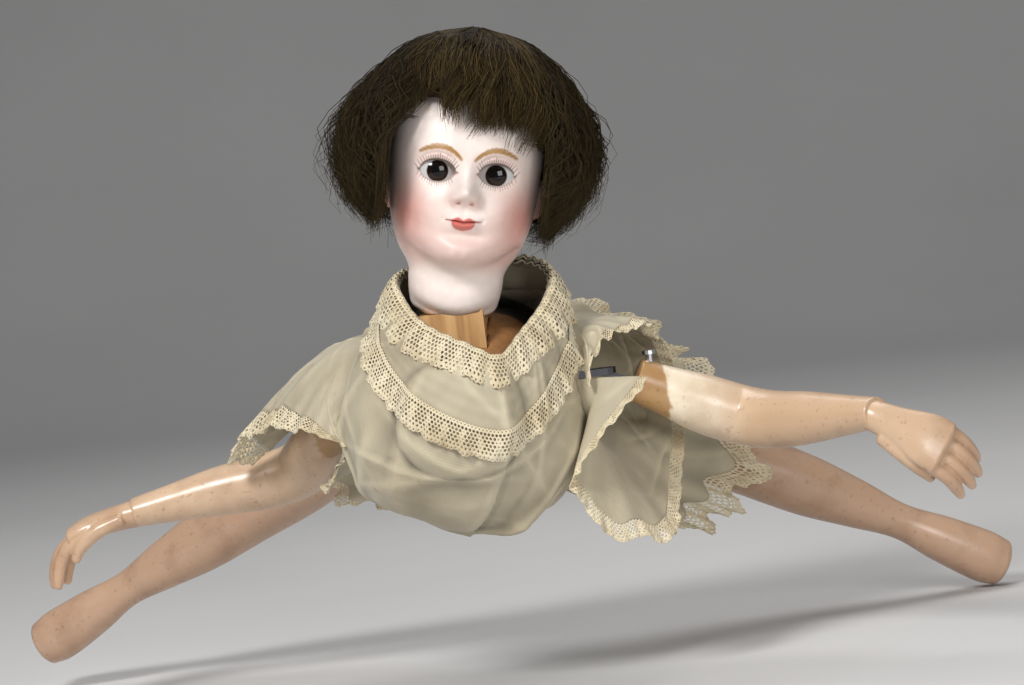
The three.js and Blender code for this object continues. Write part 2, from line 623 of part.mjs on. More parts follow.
// Crank arbors for the arms and the legs, driven by the great wheel and held in long bushes under the plate.
/** Arbor with a pinion, and a crank disc with its pin on the top end. */
function crank(spot, phase, foot, discLow, pinTop, pinTurn) {
  const pin = [CRANK_R * Math.cos(pinTurn), CRANK_R * Math.sin(pinTurn)];
  const made = rod(0, 0, foot, discLow + 1, ARBOR_R)
    .add(gear(PINION_TEETH, WHEEL_MODULE, phase, GREAT_Z - 0.5, WHEEL_T + 1))
    .add(rod(0, 0, discLow, discLow + 2, CRANK_R + 2, 18))
    .add(rod(...pin, discLow + 1, pinTop, CRANK_PIN_R, 8));
  return made.translate([...spot, 0]);
}
const pinionPhase = (angle) => angle + Math.PI + Math.PI / PINION_TEETH;
const armPhase = pinionPhase(ARM_CRANK_ANGLE);
put("arm_crank", crank(crankArm, armPhase, BUSH_Z, ARM_DISC_Z, ARM_ROD_Z - GAP, ARM_PIN_TURN), "steel");
const legPhase = pinionPhase(Math.PI / 2);
const legFoot = FLY_WHEEL_Z - 1;
put("leg_crank", crank(crankLeg, legPhase, legFoot, LEG_DISC_Z, LEG_ROD_Z - GAP, LEG_PIN_TURN), "steel");
const flyWheel = gear(FLY_WHEEL_TEETH, FLY_MODULE, 0, FLY_WHEEL_Z, FLY_WHEEL_T).translate([...crankLeg, 0]);
put("fly_wheel", bearing(flyWheel, ...crankLeg, ARBOR_R), "brass");
const flyPhase = Math.PI + Math.PI / FLY_PINION_TEETH;
const fly = rod(0, 0, FLY_WHEEL_Z - 1, TOP_PLATE_Z - GAP, FLY_ARBOR_R)
  .add(rod(0, 0, TOP_PLATE_Z - 1, TOP_PLATE_Z + PLATE_T, PIVOT_R))
  .add(gear(FLY_PINION_TEETH, FLY_MODULE, flyPhase, FLY_WHEEL_Z - 0.5, FLY_WHEEL_T + 1))
  .add(block(-FLY.reach, -FLY.half, FLY.low, FLY.reach, FLY.half, FLY.high));
put("governor_fly", fly.translate([...flySpot, 0]), "brass");

// Arm levers, tie rod and arm rod. Both tails stay parallel, so the tie rod only shifts.
const tailTurn = rad(90 - ARM_MID);
const tailStep = [TAIL * Math.cos(tailTurn), TAIL * Math.sin(tailTurn)];
const tailEnd = (side) => [side * SHOULDER.x + tailStep[0], SHOULDER.y + tailStep[1]];
const outward = (side, back) => [side * Math.cos(rad(back)), Math.sin(rad(back))];
const sideOf = { left: -1, right: 1 };

/** Spot at a distance from a pivot along a flat direction. */
function along(pivot, way, distance) {
  return [pivot[0] + way[0] * distance, pivot[1] + way[1] * distance];
}

/** Sloping tongue that carries a limb: a bar lying along a falling line. */
function tongue(pivot, way, from, to, fromZ, toZ, width, thickness) {
  const length = Math.hypot(to - from, toZ - fromZ);
  const shape = new THREE.BoxGeometry(length, width, thickness);
  shape.rotateY(-Math.atan2(toZ - fromZ, to - from));
  shape.rotateZ(Math.atan2(way[1], way[0]));
  const [x, y] = along(pivot, way, (from + to) / 2);
  shape.translate(x, y, (fromZ + toZ) / 2);
  return solid(shape);
}

/** Limb swept through [x, y, z, half width, half height] stations, with round ends. */
function limb(stations, sides, rows) {
  const curve = new THREE.CatmullRomCurve3(stations.map(([x, y, z]) => new THREE.Vector3(x, y, z)));
  const rings = [];
  const up = new THREE.Vector3(0, 0, 1);
  for (let r = 0; r <= rows; r += 1) {
    const t = r / rows;
    const p = curve.getPoint(t);
    const ahead = curve.getTangent(t);
    const across = new THREE.Vector3().crossVectors(ahead, up).normalize();
    const high = new THREE.Vector3().crossVectors(across, ahead);
    const size = [3, 4].map((k) => between(stations.map((s, i) => [i / (stations.length - 1), s[k]]), t));
    const ring = [];
    for (let s = 0; s < sides; s += 1) {
      const a = (2 * Math.PI * s) / sides;
      const q = p.clone()
        .addScaledVector(across, size[0] * Math.cos(a))
        .addScaledVector(high, size[1] * Math.sin(a));
      ring.push([q.x, q.y, q.z]);
    }
    rings.push(ring);
  }
  return skin(rings);
}

const armSlope = (name) => (ELBOW_Z[name] - ARM_TOP_Z) / (ARM_ELBOW - ARM_START);

/** Screw that holds a limb on its lever's tongue, with its head on the limb's upper side. */
function limbScrew(spot, z, below, above) {
  return rod(...spot, z - below, z + above, SCREW_R, 8)
    .add(rod(...spot, z + above - 0.6, z + above - 0.6 + SCREW_HEAD.high, SCREW_HEAD.r, 12));
}

/** Hand with its wrist at the origin and its fingers along +X, the thumb at the given side. */
function handForm(thumbOff) {
  let made = limb(PALM.map(([r, drop, w, h]) => [r, 0, 0.6 - drop, w, h]), 10, 6);
  const finger = (off, reach, stations) => limb(stations.map(([r, drop, w, h]) => (
    [r * reach, off * (0.55 + 0.45 * Math.min(1, r / 24)), -drop, w, h]
  )), 5, 4);
  FINGER_SPOTS.forEach(([off, reach]) => {
    made = made.add(finger(off, reach, FINGER));
  });
  return made.add(finger(thumbOff, 1, THUMB));
}

["left", "right"].forEach((name) => {
  const side = sideOf[name];
  const pivot = [side * SHOULDER.x, SHOULDER.y];
  const upper = outward(side, ARM_BACK[name]);
  const fore = outward(side, ARM_BACK[name] - ELBOW_BEND);
  const bend = LEVER_BEND;
  const zAt = (r) => ARM_LEVER_Z + LEVER_T / 2 + Math.max(0, r - bend) * armSlope(name);
  const flat = bar(pivot, along(pivot, upper, bend), LEVER_W, ARM_LEVER_Z, ARM_LEVER_Z + LEVER_T)
    .add(rod(...pivot, ARM_LEVER_Z, ARM_LEVER_Z + LEVER_T, EAR_R))
    .add(bar(pivot, tailEnd(side), TAIL_W, ARM_LEVER_Z, ARM_LEVER_Z + LEVER_T))
    .add(rod(...tailEnd(side), TIE_Z - 0.4, ARM_LEVER_Z + 1, TAIL_PIN_R, 10));
  const start = bend - 3;
  const sloping = (grow) => tongue(pivot, upper, start, LEVER_REACH + grow, zAt(start), zAt(LEVER_REACH),
    TONGUE_W + 2 * grow, LEVER_T + 2 * grow);
  const screwSpot = along(pivot, upper, ARM_START + 7);
  const lever = bearing(flat, ...pivot, PIN_R).add(sloping(0));
  put(`${name}_arm_lever`, hole(lever, ...screwSpot, SCREW_R + GAP), "iron");
  const spot = (r, z, w, h) => [...along(pivot, upper, r), z, w, h];
  const elbow = along(pivot, upper, ARM_ELBOW);
  const step = (r, z, w, h) => [...along(elbow, fore, r), z, w, h];
  const line = (r) => ARM_TOP_Z + (r - ARM_START) * armSlope(name);
  const fall = (share) => ELBOW_Z[name] + (WRIST_Z[name] + 1 - ELBOW_Z[name]) * share;
  const armForm = (grow) => limb([
    spot(ARM_START, line(ARM_START), 8.5, 9.5),
    spot(ARM_START + 12, line(ARM_START + 12), 9.8, 10.6),
    spot(ARM_ELBOW - 20, line(ARM_ELBOW - 20), 12.5, 12.8),
    spot(ARM_ELBOW - 4, line(ARM_ELBOW - 4) + 1, 12.8, 13),
    step(0.18 * ARM_FORE, fall(0.1), 12.2, 12.6),
    step(0.47 * ARM_FORE, fall(0.35), 10.8, 11.2),
    step(0.76 * ARM_FORE, fall(0.7), 8.6, 8.6),
    step(ARM_FORE + grow, fall(1), WRIST_HALF.wide, WRIST_HALF.high),
  ].map(([x, y, z, w, h]) => [x, y, z, w + grow, h + grow]), 10, 14);
  put(`${name}_arm`, hole(armForm(0).subtract(sloping(GAP)), ...screwSpot, SCREW_R + GAP), "flesh");
  put(`${name}_shoulder_screw`, limbScrew(screwSpot, zAt(ARM_START + 7), 7, 15), "steel");
  const wrist = along(elbow, fore, ARM_FORE - 3);
  const turn = outward(side, ARM_BACK[name] - ELBOW_BEND + HAND_OUT[name]);
  const hand = handForm(-side * THUMB_OFF)
    .rotate([HAND_ROLL[name], 0, 0])
    .rotate([0, HAND_DOWN[name], 0])
    .rotate([0, 0, THREE.MathUtils.radToDeg(Math.atan2(turn[1], turn[0]))])
    .translate([...wrist, WRIST_Z[name]]);
  put(`${name}_hand`, hand.subtract(armForm(GAP)), "flesh");
});
const armRodSpot = [20 + tailStep[0], SHOULDER.y + tailStep[1]];
let tie = bar(tailEnd(-1), tailEnd(1), TIE_W, TIE_Z, TIE_Z + 2.4)
  .add(rod(...armRodSpot, ARM_ROD_Z - 0.4, TIE_Z + 1, TAIL_PIN_R, 10));
[-1, 1].forEach((side) => {
  tie = bearing(tie, ...tailEnd(side), TAIL_PIN_R);
});
put("arm_tie_rod", tie, "iron");
const pinSpot = (spot, turn) => [spot[0] + CRANK_R * Math.cos(turn), spot[1] + CRANK_R * Math.sin(turn)];
const armPin = pinSpot(crankArm, ARM_PIN_TURN);
const armRod = bar(armPin, armRodSpot, 5, ARM_ROD_Z, ARM_ROD_Z + ROD_T);
put("arm_rod", bearing(bearing(armRod, ...armRodSpot, TAIL_PIN_R), ...armPin, CRANK_PIN_R), "iron");

// Leg levers, kick slide and leg rod.
["left", "right"].forEach((name) => {
  const side = sideOf[name];
  const pivot = [side * HIP.x, HIP.y];
  const way = outward(side, LEG_BACK);
  const inward = outward(-side, TAIL_MID);
  const tail = along(pivot, inward, TAIL);
  const slope = -LEG_DROP[name] / (LEG_REACH - LEG_START);
  const zAt = (r) => LEG_LEVER_Z + LEVER_T / 2 + Math.max(0, r - LEG_LEVER_BEND) * slope;
  const flat = bar(pivot, along(pivot, way, LEG_LEVER_BEND), LEVER_W, LEG_LEVER_Z, LEG_LEVER_Z + LEVER_T)
    .add(rod(...pivot, LEG_LEVER_Z, LEG_LEVER_Z + LEVER_T, EAR_R))
    .add(bar(pivot, tail, TAIL_W, LEG_LEVER_Z, LEG_LEVER_Z + LEVER_T))
    .add(rod(...tail, LEG_LEVER_Z + 1, SLIDE_Z + SLIDE_T + 0.5, TAIL_PIN_R, 10));
  const start = LEG_LEVER_BEND - 3;
  const sloping = (grow) => tongue(pivot, way, start, LEG_LEVER_REACH + grow,
    zAt(start), zAt(LEG_LEVER_REACH), TONGUE_W + 2 * grow, LEVER_T + 2 * grow);
  const screwSpot = along(pivot, way, LEG_START + 8);
  const lever = bearing(flat, ...pivot, PIN_R).add(sloping(0));
  put(`${name}_leg_lever`, hole(lever, ...screwSpot, SCREW_R + GAP), "iron");
  const leg = limb(LEG_STATIONS.map(([share, w, h, lift]) => {
    const r = LEG_START + share * (LEG_REACH - LEG_START);
    return [...along(pivot, way, r), zAt(r) + lift, w, h];
  }), 10, 17);
  put(`${name}_leg`, hole(leg.subtract(sloping(GAP)), ...screwSpot, SCREW_R + GAP), "flesh");
  put(`${name}_hip_screw`, limbScrew(screwSpot, zAt(LEG_START + 8), 8, 17), "steel");
});
const slotMid = HIP.x - TAIL * Math.cos(rad(TAIL_MID)) - 0.4;
const legPin = pinSpot(crankLeg, LEG_PIN_TURN);
const slideJoint = [0, legPin[1] + Math.sqrt(LEG_ROD_LENGTH ** 2 - legPin[0] ** 2)];
let slide = bar([-20, CROSSBAR_Y], [20, CROSSBAR_Y], 7, SLIDE_Z, SLIDE_Z + SLIDE_T)
  .add(bar([0, CROSSBAR_Y], slideJoint, 6, SLIDE_Z, SLIDE_Z + SLIDE_T))
  .add(rod(...slideJoint, SLIDE_Z + 1, LEG_ROD_Z + ROD_T + 0.2, TAIL_PIN_R, 10));
[-1, 1].forEach((side) => {
  const slotEnds = [slotMid - 1.1, slotMid + 1.1].map((x) => [side * x, CROSSBAR_Y]);
  slide = slide.subtract(bar(...slotEnds, 2 * TAIL_PIN_R + 0.5, SLIDE_Z - 1, SLIDE_Z + SLIDE_T + 1))
    .add(rod(side * STUD_X, CROSSBAR_Y, SLIDE_Z + 1, BRIDGE_Z + PLATE_T + 0.4, STUD_R, 10));
});
put("kick_slide", slide, "iron");
const legRod = bar(legPin, slideJoint, 5, LEG_ROD_Z, LEG_ROD_Z + ROD_T);
put("leg_rod", bearing(bearing(legRod, ...slideJoint, TAIL_PIN_R), ...legPin, CRANK_PIN_R), "iron");

// Head: hollow bisque with an open crown, turned and tilted on the neck.
/** Head's half width, front depth and back depth at a height; `chin` is the height used for the front. */
function headSize(z, chin = z) {
  return [between(HEAD_WIDE, z), between(HEAD_FRONT, chin), between(HEAD_BACK, z)];
}
const bump = (x, z, cx, cz, sx, sz) => Math.exp(-(((x - cx) / sx) ** 2) - ((z - cz) / sz) ** 2);

/** How far the face stands out in front of its plain form, at a side offset and a height. */
function relief(x, z) {
  const m = Math.abs(x);
  return 7.5 * bump(x, z, 0, 51, 4, 4.5) + 4 * bump(x, z, 0, 58, 3.2, 7) + 2 * bump(m, z, 4.6, 49, 2.4, 2.6)
    - 3.2 * bump(m, z, EYE_X, EYE_UP, 8, 6) + 1.2 * bump(m, z, 17, 47, 9, 9) + 2.2 * bump(x, z, 0, 40.5, 7, 4)
    + 2.4 * bump(x, z, 0, 28, 8, 5) - 1.6 * bump(x, z, 0, 35, 8, 2.6);
}

/** Point of the head's skin at a turn from straight ahead and a height, grown by a distance. */
function headPoint(turn, z, grow) {
  const s = Math.sin(turn);
  const c = Math.cos(turn);
  const x = (headSize(z)[0] + grow) * s;
  const fade = 1 - THREE.MathUtils.smoothstep(z, JAW.low, JAW.high);
  const [, front, back] = headSize(z, Math.max(0, z - JAW.rise * (x / JAW.half) ** 2 * fade));
  const face = c > 0 ? c ** 0.85 : 0;
  const depth = c > 0 ? -(front + grow) * face - relief(x, z) * Math.min(1, 2 * c) : -(back + grow) * c;
  return [x, depth, z];
}

/** Head form grown by a distance, between two heights. */
function headForm(grow, low, high, sides, rows) {
  const rings = [];
  for (let r = 0; r <= rows; r += 1) {
    const z = low + ((high - low) * r) / rows;
    const ring = [];
    for (let s = 0; s < sides; s += 1) ring.push(headPoint((2 * Math.PI * s) / sides, z, grow));
    rings.push(ring);
  }
  return skin(rings);
}
const set = (body) => body.rotate([0, HEAD_TILT, 0]).rotate([0, 0, HEAD_TURN])
  .translate([0, HEAD_Y, NECK_TOP_Z + GAP]);

/** Ball of the given radius about a spot. */
function ball(x, y, z, r, sides = 14, rows = 8) {
  const shape = new THREE.SphereGeometry(r, sides, rows);
  shape.translate(x, y, z);
  return solid(shape);
}
let head = headForm(0, 0, CROWN_CUT, 20, 20);
[-1, 1].forEach((side) => {
  const ear = new THREE.SphereGeometry(1, 8, 6);
  ear.scale(3.4, 4.4, 8.5);
  ear.rotateY(rad(side * -8));
  ear.translate(side * EAR.x, EAR.y, EAR.z);
  head = head.add(solid(ear));
});
head = head.subtract(headForm(-HEAD_WALL, 4, CROWN_CUT + 3, 14, 9)).subtract(rod(0, 0, -5, 10, 6));
[-1, 1].forEach((side) => {
  const opening = new THREE.CylinderGeometry(1, 1, 30, 14);
  opening.scale(EYE_OPEN.half, 1, EYE_OPEN.rise);
  opening.translate(side * EYE_X, -EYE_IN - 15, EYE_UP);
  head = head.subtract(ball(side * EYE_X, -EYE_IN, EYE_UP, EYE_R + GAP)).subtract(solid(opening));
});
put("bisque_head", set(head), "bisque");
["left", "right"].forEach((name) => {
  put(`${name}_glass_eye`, set(ball(sideOf[name] * EYE_X, -EYE_IN, EYE_UP, EYE_R)), "glass");
});
const pate = headForm(-0.3, CROWN_CUT + GAP, CROWN - 0.5, 16, 4);
put("cork_pate", set(pate), "cork");
/** Outer form of the wig: a full bob that stands off at the sides. */
function wigPoint(turn, z) {
  const share = (z - WIG.low) / (WIG.high - WIG.low);
  const wide = between(WIG_WIDE, share);
  const deep = between(WIG_DEEP, share);
  const lock = 1 + 0.035 * Math.sin(7 * turn + 3 * share) + 0.02 * Math.sin(13 * turn);
  return [wide * lock * Math.sin(turn), 2 - deep * lock * Math.cos(turn), z];
}
const wigRings = [];
for (let r = 0; r <= 9; r += 1) {
  const ring = [];
  const z = WIG.low + ((WIG.high - WIG.low) * r) / 9;
  for (let s = 0; s < 22; s += 1) ring.push(wigPoint((2 * Math.PI * s) / 22, z));
  wigRings.push(ring);
}
const faceCut = block(-FACE_CUT.half, -90, 0, FACE_CUT.half, -FACE_CUT.back, FACE_CUT.top);
const hairInside = headForm(WIG.gap, WIG.low - 6, CROWN + 1.2, 18, 14)
  .add(block(-EAR.x - 4, EAR.y - 6, EAR.z - 12, EAR.x + 4, EAR.y + 6, EAR.z + 10));
put("wig", set(skin(wigRings).subtract(hairInside).subtract(faceCut)), "hair");

// Neck: a wooden block let into the cork with a dished seat, the bolt that keeps the head on and its button.
const seat = turned([[0, -GAP], [12.5, -GAP], [18.6, 3], [20.4, 8], [21, 20], [0, 20]], 20);
const neckBlock = block(-NECK_BLOCK.half, NECK_BLOCK.front, NECK_BLOCK.low,
  NECK_BLOCK.half, NECK_BLOCK.rear, NECK_TOP_Z + 2);
put("neck_block", neckBlock.subtract(set(seat.add(rod(0, 0, -50, 10, BOLT_R + GAP)))), "wood");
const boltFoot = NECK_BLOCK.low - NECK_TOP_Z;
const bolt = rod(0, 0, boltFoot - 2.4, 13, BOLT_R).add(rod(0, 0, boltFoot - 3.4, boltFoot - 1.9, 4.5, 12));
put("neck_bolt", set(bolt), "iron");
const button = turned([[BOLT_R + GAP, 4.6], [8.6, 4.6], [10.6, 8], [8.6, 11], [BOLT_R + GAP, 12],
  [BOLT_R + GAP, 4.6]], 16);
put("neck_button", set(button), "wood");

// Dress: bodice over the body, a flared skirt and two open sleeves.
const fullness = (y) => CHEST.full * Math.exp(-(((y - CHEST.y) / CHEST.spread) ** 2));
const bodiceGrow = (y) => DRESS_OFF + BODICE_T + fullness(y);
const spotsOf = (rows) => rows.map((p) => new THREE.Vector3(...p));
const loop = (rows) => new THREE.CatmullRomCurve3(spotsOf(rows), true, "catmullrom");
const neckLoop = loop(NECKLINE);
const hemLoop = loop(BODICE_HEM);

/** Distance from the chest's middle to the bodice along a direction: the grown body, domed at the front. */
function bodiceReach(way) {
  let near = 0;
  let far = 180;
  for (let i = 0; i < 30; i += 1) {
    const middle = (near + far) / 2;
    const p = CHEST_MIDDLE.clone().addScaledVector(way, middle);
    const [half, rise, level] = bodySection(p.y, bodiceGrow(p.y));
    const dome = Math.sqrt(Math.max(1e-6, 1 - (Math.max(0, FRONT_ROUND.from - p.y) / FRONT_ROUND.long) ** 2));
    const size = (Math.abs(p.x) / (half * dome)) ** BODY_SQUARENESS
      + (Math.abs(p.z - level) / (rise * dome)) ** BODY_SQUARENESS;
    if (size < 1) near = middle;
    else far = middle;
  }
  return near;
}

/** Point of the bodice: u runs round the neckline and v down to the hem; its collar stands at the neck. */
function bodicePoint(u, v) {
  const neck = neckLoop.getPoint(u);
  const first = neck.clone().sub(CHEST_MIDDLE).normalize();
  const last = hemLoop.getPoint(u).sub(CHEST_MIDDLE).normalize();
  const angle = first.angleTo(last);
  const way = first.clone().multiplyScalar(Math.sin((1 - v) * angle) / Math.sin(angle))
    .addScaledVector(last, Math.sin(v * angle) / Math.sin(angle));
  const fold = 0.7 * v * Math.sin(2 * Math.PI * 9 * u + 4 * v);
  const stand = neck.distanceTo(CHEST_MIDDLE) - bodiceReach(first);
  const collar = Math.exp(-((v * angle / COLLAR_SPREAD) ** 2));
  const p = CHEST_MIDDLE.clone().addScaledVector(way, bodiceReach(way) + fold + stand * collar);
  return [p.x, p.y, p.z];
}
let bodice = cloth((u, v) => bodicePoint(FRONT_SLIT + (1 - 2 * FRONT_SLIT) * u, v), 40, 7, -BODICE_T);
bodice = bodice.subtract(bodyForm(GAP, 24, 12));
[-1, 1].forEach((side) => {
  const near = Math.min(side * ARMHOLE.x, side * 80);
  const far = Math.max(side * ARMHOLE.x, side * 80);
  bodice = bodice.subtract(block(near, ARMHOLE.front, ARMHOLE.low, far, ARMHOLE.rear, ARMHOLE.high));
});
put("dress_bodice", hole(bodice, 0, BARREL_Y, KEY_HOLE_R + 5), "cloth");

/** Skirt: from the waist out to the hem, round the back from one side's foot to the other's. */
function skirtPoint(u, v) {
  const first = SKIRT_HEM[0][0];
  const deg = first + (SKIRT_HEM[SKIRT_HEM.length - 1][0] - first) * u;
  const turn = rad(deg);
  const waist = bodyPoint(WAIST_Y + 2 * GAP, turn, SKIRT_T + GAP);
  const fold = 1 + 0.05 * v * Math.sin(SKIRT_FOLDS * turn) + 0.03 * v * Math.sin(7 * turn + 1);
  const key = (k) => between(SKIRT_HEM.map((row) => [row[0], row[k]]), deg);
  const hem = [key(1) * fold, key(2), SKIRT_MIDDLE + (key(3) - SKIRT_MIDDLE) * fold];
  const blend = v ** 1.3;
  return [0, 1, 2].map((k) => waist[k] + (hem[k] - waist[k]) * (k === 1 ? v : blend));
}
put("dress_skirt", cloth(skirtPoint, 40, 4, SKIRT_T), "cloth");

/** Half width of the bodice at a spot along the body and a height. */
function bodiceSide(y, z) {
  const [half, rise, middle] = bodySection(y, bodiceGrow(y));
  const share = Math.min(0.97, Math.abs(z - middle) / rise);
  return half * (1 - share ** BODY_SQUARENESS) ** (1 / BODY_SQUARENESS);
}
/** Sleeve: cloth from a round seam at the armhole to its hem, its angle counted from the top to the back. */
function sleevePoint(name, u, v) {
  const { narrow, set: back0, off, puff, hem } = SLEEVES[name];
  const first = hem[0][0];
  const deg = first + (hem[hem.length - 1][0] - first) * u;
  const turn = rad(deg);
  const y = SHOULDER.y + back0 + narrow * Math.sin(turn);
  const z = ARM_LEVER_Z + narrow * Math.cos(turn);
  const seam = [sideOf[name] * (bodiceSide(y, z) + off), y, z];
  const key = (k) => between(hem.map((row) => [row[0], row[k + 1]]), deg);
  const swell = puff * Math.sin(Math.PI * v) * Math.max(0, Math.cos(turn));
  const ripple = v * (1.6 * Math.sin(9 * turn) + Math.sin(5 * turn + 2));
  const out = [0, 0.5 * Math.sin(turn) * ripple, swell + Math.cos(turn) * ripple];
  return [0, 1, 2].map((k) => seam[k] + (key(k) - seam[k]) * v + out[k]);
}
["left", "right"].forEach((name) => {
  const shape = cloth((u, v) => sleevePoint(name, u, v), 26, 4, sideOf[name] * SLEEVE_T);
  put(`${name}_sleeve`, shape, "cloth");
});

export default group;
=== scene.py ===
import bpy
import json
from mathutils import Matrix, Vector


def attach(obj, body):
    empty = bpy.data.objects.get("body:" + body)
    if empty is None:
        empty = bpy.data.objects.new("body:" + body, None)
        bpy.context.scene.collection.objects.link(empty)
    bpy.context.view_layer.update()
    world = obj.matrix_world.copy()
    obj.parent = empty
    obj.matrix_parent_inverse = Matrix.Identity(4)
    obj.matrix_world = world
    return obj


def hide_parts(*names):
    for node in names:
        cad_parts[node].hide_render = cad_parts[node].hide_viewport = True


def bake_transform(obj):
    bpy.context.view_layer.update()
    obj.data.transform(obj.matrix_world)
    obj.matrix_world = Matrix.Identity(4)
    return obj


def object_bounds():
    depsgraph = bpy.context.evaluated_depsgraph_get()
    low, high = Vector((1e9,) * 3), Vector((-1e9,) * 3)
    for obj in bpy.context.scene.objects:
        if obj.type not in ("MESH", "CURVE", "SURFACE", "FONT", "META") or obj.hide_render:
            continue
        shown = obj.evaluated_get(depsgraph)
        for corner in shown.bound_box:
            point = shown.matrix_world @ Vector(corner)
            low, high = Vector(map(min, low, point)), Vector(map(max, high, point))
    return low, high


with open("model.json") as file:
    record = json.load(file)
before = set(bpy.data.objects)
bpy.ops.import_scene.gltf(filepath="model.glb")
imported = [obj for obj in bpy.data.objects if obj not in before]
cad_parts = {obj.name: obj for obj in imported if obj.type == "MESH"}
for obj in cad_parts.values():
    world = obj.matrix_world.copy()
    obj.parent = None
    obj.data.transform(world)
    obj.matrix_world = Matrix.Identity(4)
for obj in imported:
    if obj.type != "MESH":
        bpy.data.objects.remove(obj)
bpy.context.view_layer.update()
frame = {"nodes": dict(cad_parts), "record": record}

import json
import math

import bpy
import numpy as np
from mathutils import Matrix, Vector

# Swimming doll. Shapes are worked out in millimetres and put into the meshes in metres.
# Origin at the flat under the belly, +X to the viewer's right, +Y to the feet, +Z up.
MM = 0.001
SIDES = {"left": -1, "right": 1}

# Body, limbs and head as the frame has them
BODY_FRONT, BODY_REAR, BODY_SQUARENESS = -76, 84, 2.5
BODY_KEYS = np.array([
    # y, half width, lowest, highest
    (BODY_FRONT, 22, 26, 64),
    (-66, 37, 12, 75),
    (-48, 45, 2, 84),
    (-20, 46, -2, 88),
    (20, 46, -2, 86),
    (48, 45, 3, 76),
    (70, 43, 8, 64),
    (BODY_REAR, 31, 17, 55),
], float)
BARREL_Y, KEY_HOLE_R = 14, 6
SHOULDER = np.array([34.0, -36.0])
HIP = np.array([28.0, 70.0])
SHOULDER_SLOT = {"y": (-46, -6), "z": (50.2, 59)}
HIP_SLOT = {"y": (61, 110), "z": (29, 39)}
NECK_HOLE = {"x": 14.3, "y": (-66.3, -38.7)}
ARM_BACK = {"left": 54, "right": 10}
ELBOW_BEND, ARM_START, ARM_ELBOW, ARM_FORE, ARM_TOP_Z, ARM_LEVER_Z = 56, 40, 88, 76, 50, 54
ELBOW_Z = {"left": 20, "right": 26}
WRIST_Z = {"left": 11, "right": 27}
HAND_OUT = {"left": 8, "right": 22}
HAND_ROLL = {"left": 0, "right": 55}
HAND_DOWN = {"left": 0, "right": 24}
# Paint of each arm near the shoulder and at the hand. The right arm's pale cream near the shoulder
# is its flesh paint with painted light, where the upper arm faces the lamp
ARM_PAINT_AND_PAINTED_LIGHT = {
    "left": ((0.64, 0.45, 0.30), (0.64, 0.45, 0.30)),
    "right": ((0.88, 0.76, 0.58), (0.60, 0.41, 0.265)),
}
# Stations of the hand along its length: reach, drop, half width, half height
PALM = ((-5, 0.2, 6.2, 5.7), (3, 0.2, 7.0, 6.2), (12, 1.5, 8.6, 5.8), (24, 4, 11.8, 5.4), (32, 7, 12.2, 4.6))
FINGER = ((20, 3.6, 2.9, 3.1), (33, 8.5, 3.15, 3.3), (40, 15, 2.95, 3.1), (43, 23, 2.65, 2.8),
          (44, 28, 2.0, 2.1))
FINGER_SPOTS = ((-8.7, 0.94), (-2.95, 1.0), (2.95, 1.0), (8.7, 0.92))
THUMB = ((8, 1, 3.2, 3.2), (19, 5, 3.6, 3.6), (27, 11, 3.2, 3.2), (30, 16.5, 2.2, 2.2))
THUMB_OFF = 10.5
LEG_BACK, LEG_START, LEG_REACH, LEG_LEVER_Z, LEG_BEND = 14, 24, 210, 33.5, 18.5
LEG_DROP = {"left": 84, "right": 97}
# Stations of the leg: share of its length, half width, half height, lift
LEG_STATIONS = ((0, 10.5, 11, 0), (0.06, 13.2, 13.6, 0), (0.22, 15.2, 15.6, 0), (0.36, 14.4, 14.8, 0),
                (0.5, 13.6, 14.2, 0), (0.62, 10.8, 11.4, 0), (0.73, 8.2, 8.4, -0.5), (0.83, 10.2, 10.8, -1.5),
                (0.93, 11.2, 12.2, -2.5), (0.975, 9.8, 11, -2.5))
NECK_TOP_Z, HEAD_Y, HEAD_TILT, HEAD_TURN = 88.3, -52, 12, 6
CROWN, CROWN_CUT = 112, 97
EYE_R, EYE_X, EYE_UP, EYE_IN = 10, 12.3, 61, 19.6

# Dress
WAIST_Y, BODICE_OFF, SKIRT_OFF = 30, 3.6, 2.3
SKIRT_MIDDLE, SKIRT_FOLDS = 37, 22
# How far the skirt's top edge is tucked forwards under the bodice, and drawn in there
SKIRT_TUCK, SKIRT_DRAWN_IN = 4, 1.2
# Hem of the skirt: turn in degrees from the right over the back, x, y, z
SKIRT_HEM = np.array([
    (-58, 74, 66, -27), (-30, 106, 69, -22), (-8, 122, 69, -2), (20, 101, 69, 45), (45, 85, 66, 58),
    (65, 60, 64, 78), (90, 10, 64, 84), (135, -66, 62, 68), (180, -86, 59, 38), (210, -72, 57, 8),
    (238, -48, 55, -2),
], float)
# Sleeves: the seam's radius, its place behind the shoulder and off the bodice, the puff, and the hem,
# with its turn in degrees from the top to the back, x, y, z
SLEEVES = {
    "left": {"narrow": 30, "set": 18, "off": 4.2, "puff": 15, "hem": np.array([
        (-170, -72, -6, 17), (-140, -64, -28, 21), (-112, -52, -50, 36), (-80, -63.5, -48, 43),
        (-45, -78, -38, 47.5), (-10, -95, -15, 45), (30, -112, 8, 34), (75, -103, 22, 28)], float)},
    "right": {"narrow": 24, "set": 8, "off": 5.8, "puff": 4, "hem": np.array([
        (-78, 54, -58, 50), (-58, 58, -55, 64), (-30, 66, -46, 70.5), (0, 79, -30, 72.5), (40, 86, -12, 65),
        (90, 90, 0, 51), (130, 91, -4, 26), (160, 87, -20, 2), (185, 81, -48, -20), (200, 68.5, -58, -14),
        (215, 55.5, -62, -10), (238, 44, -66, 6.5), (252, 46, -68, 18), (272, 81, -64, 53.5)], float)},
}
LACE_WIDE, LACE_CELL = 12, 1.7


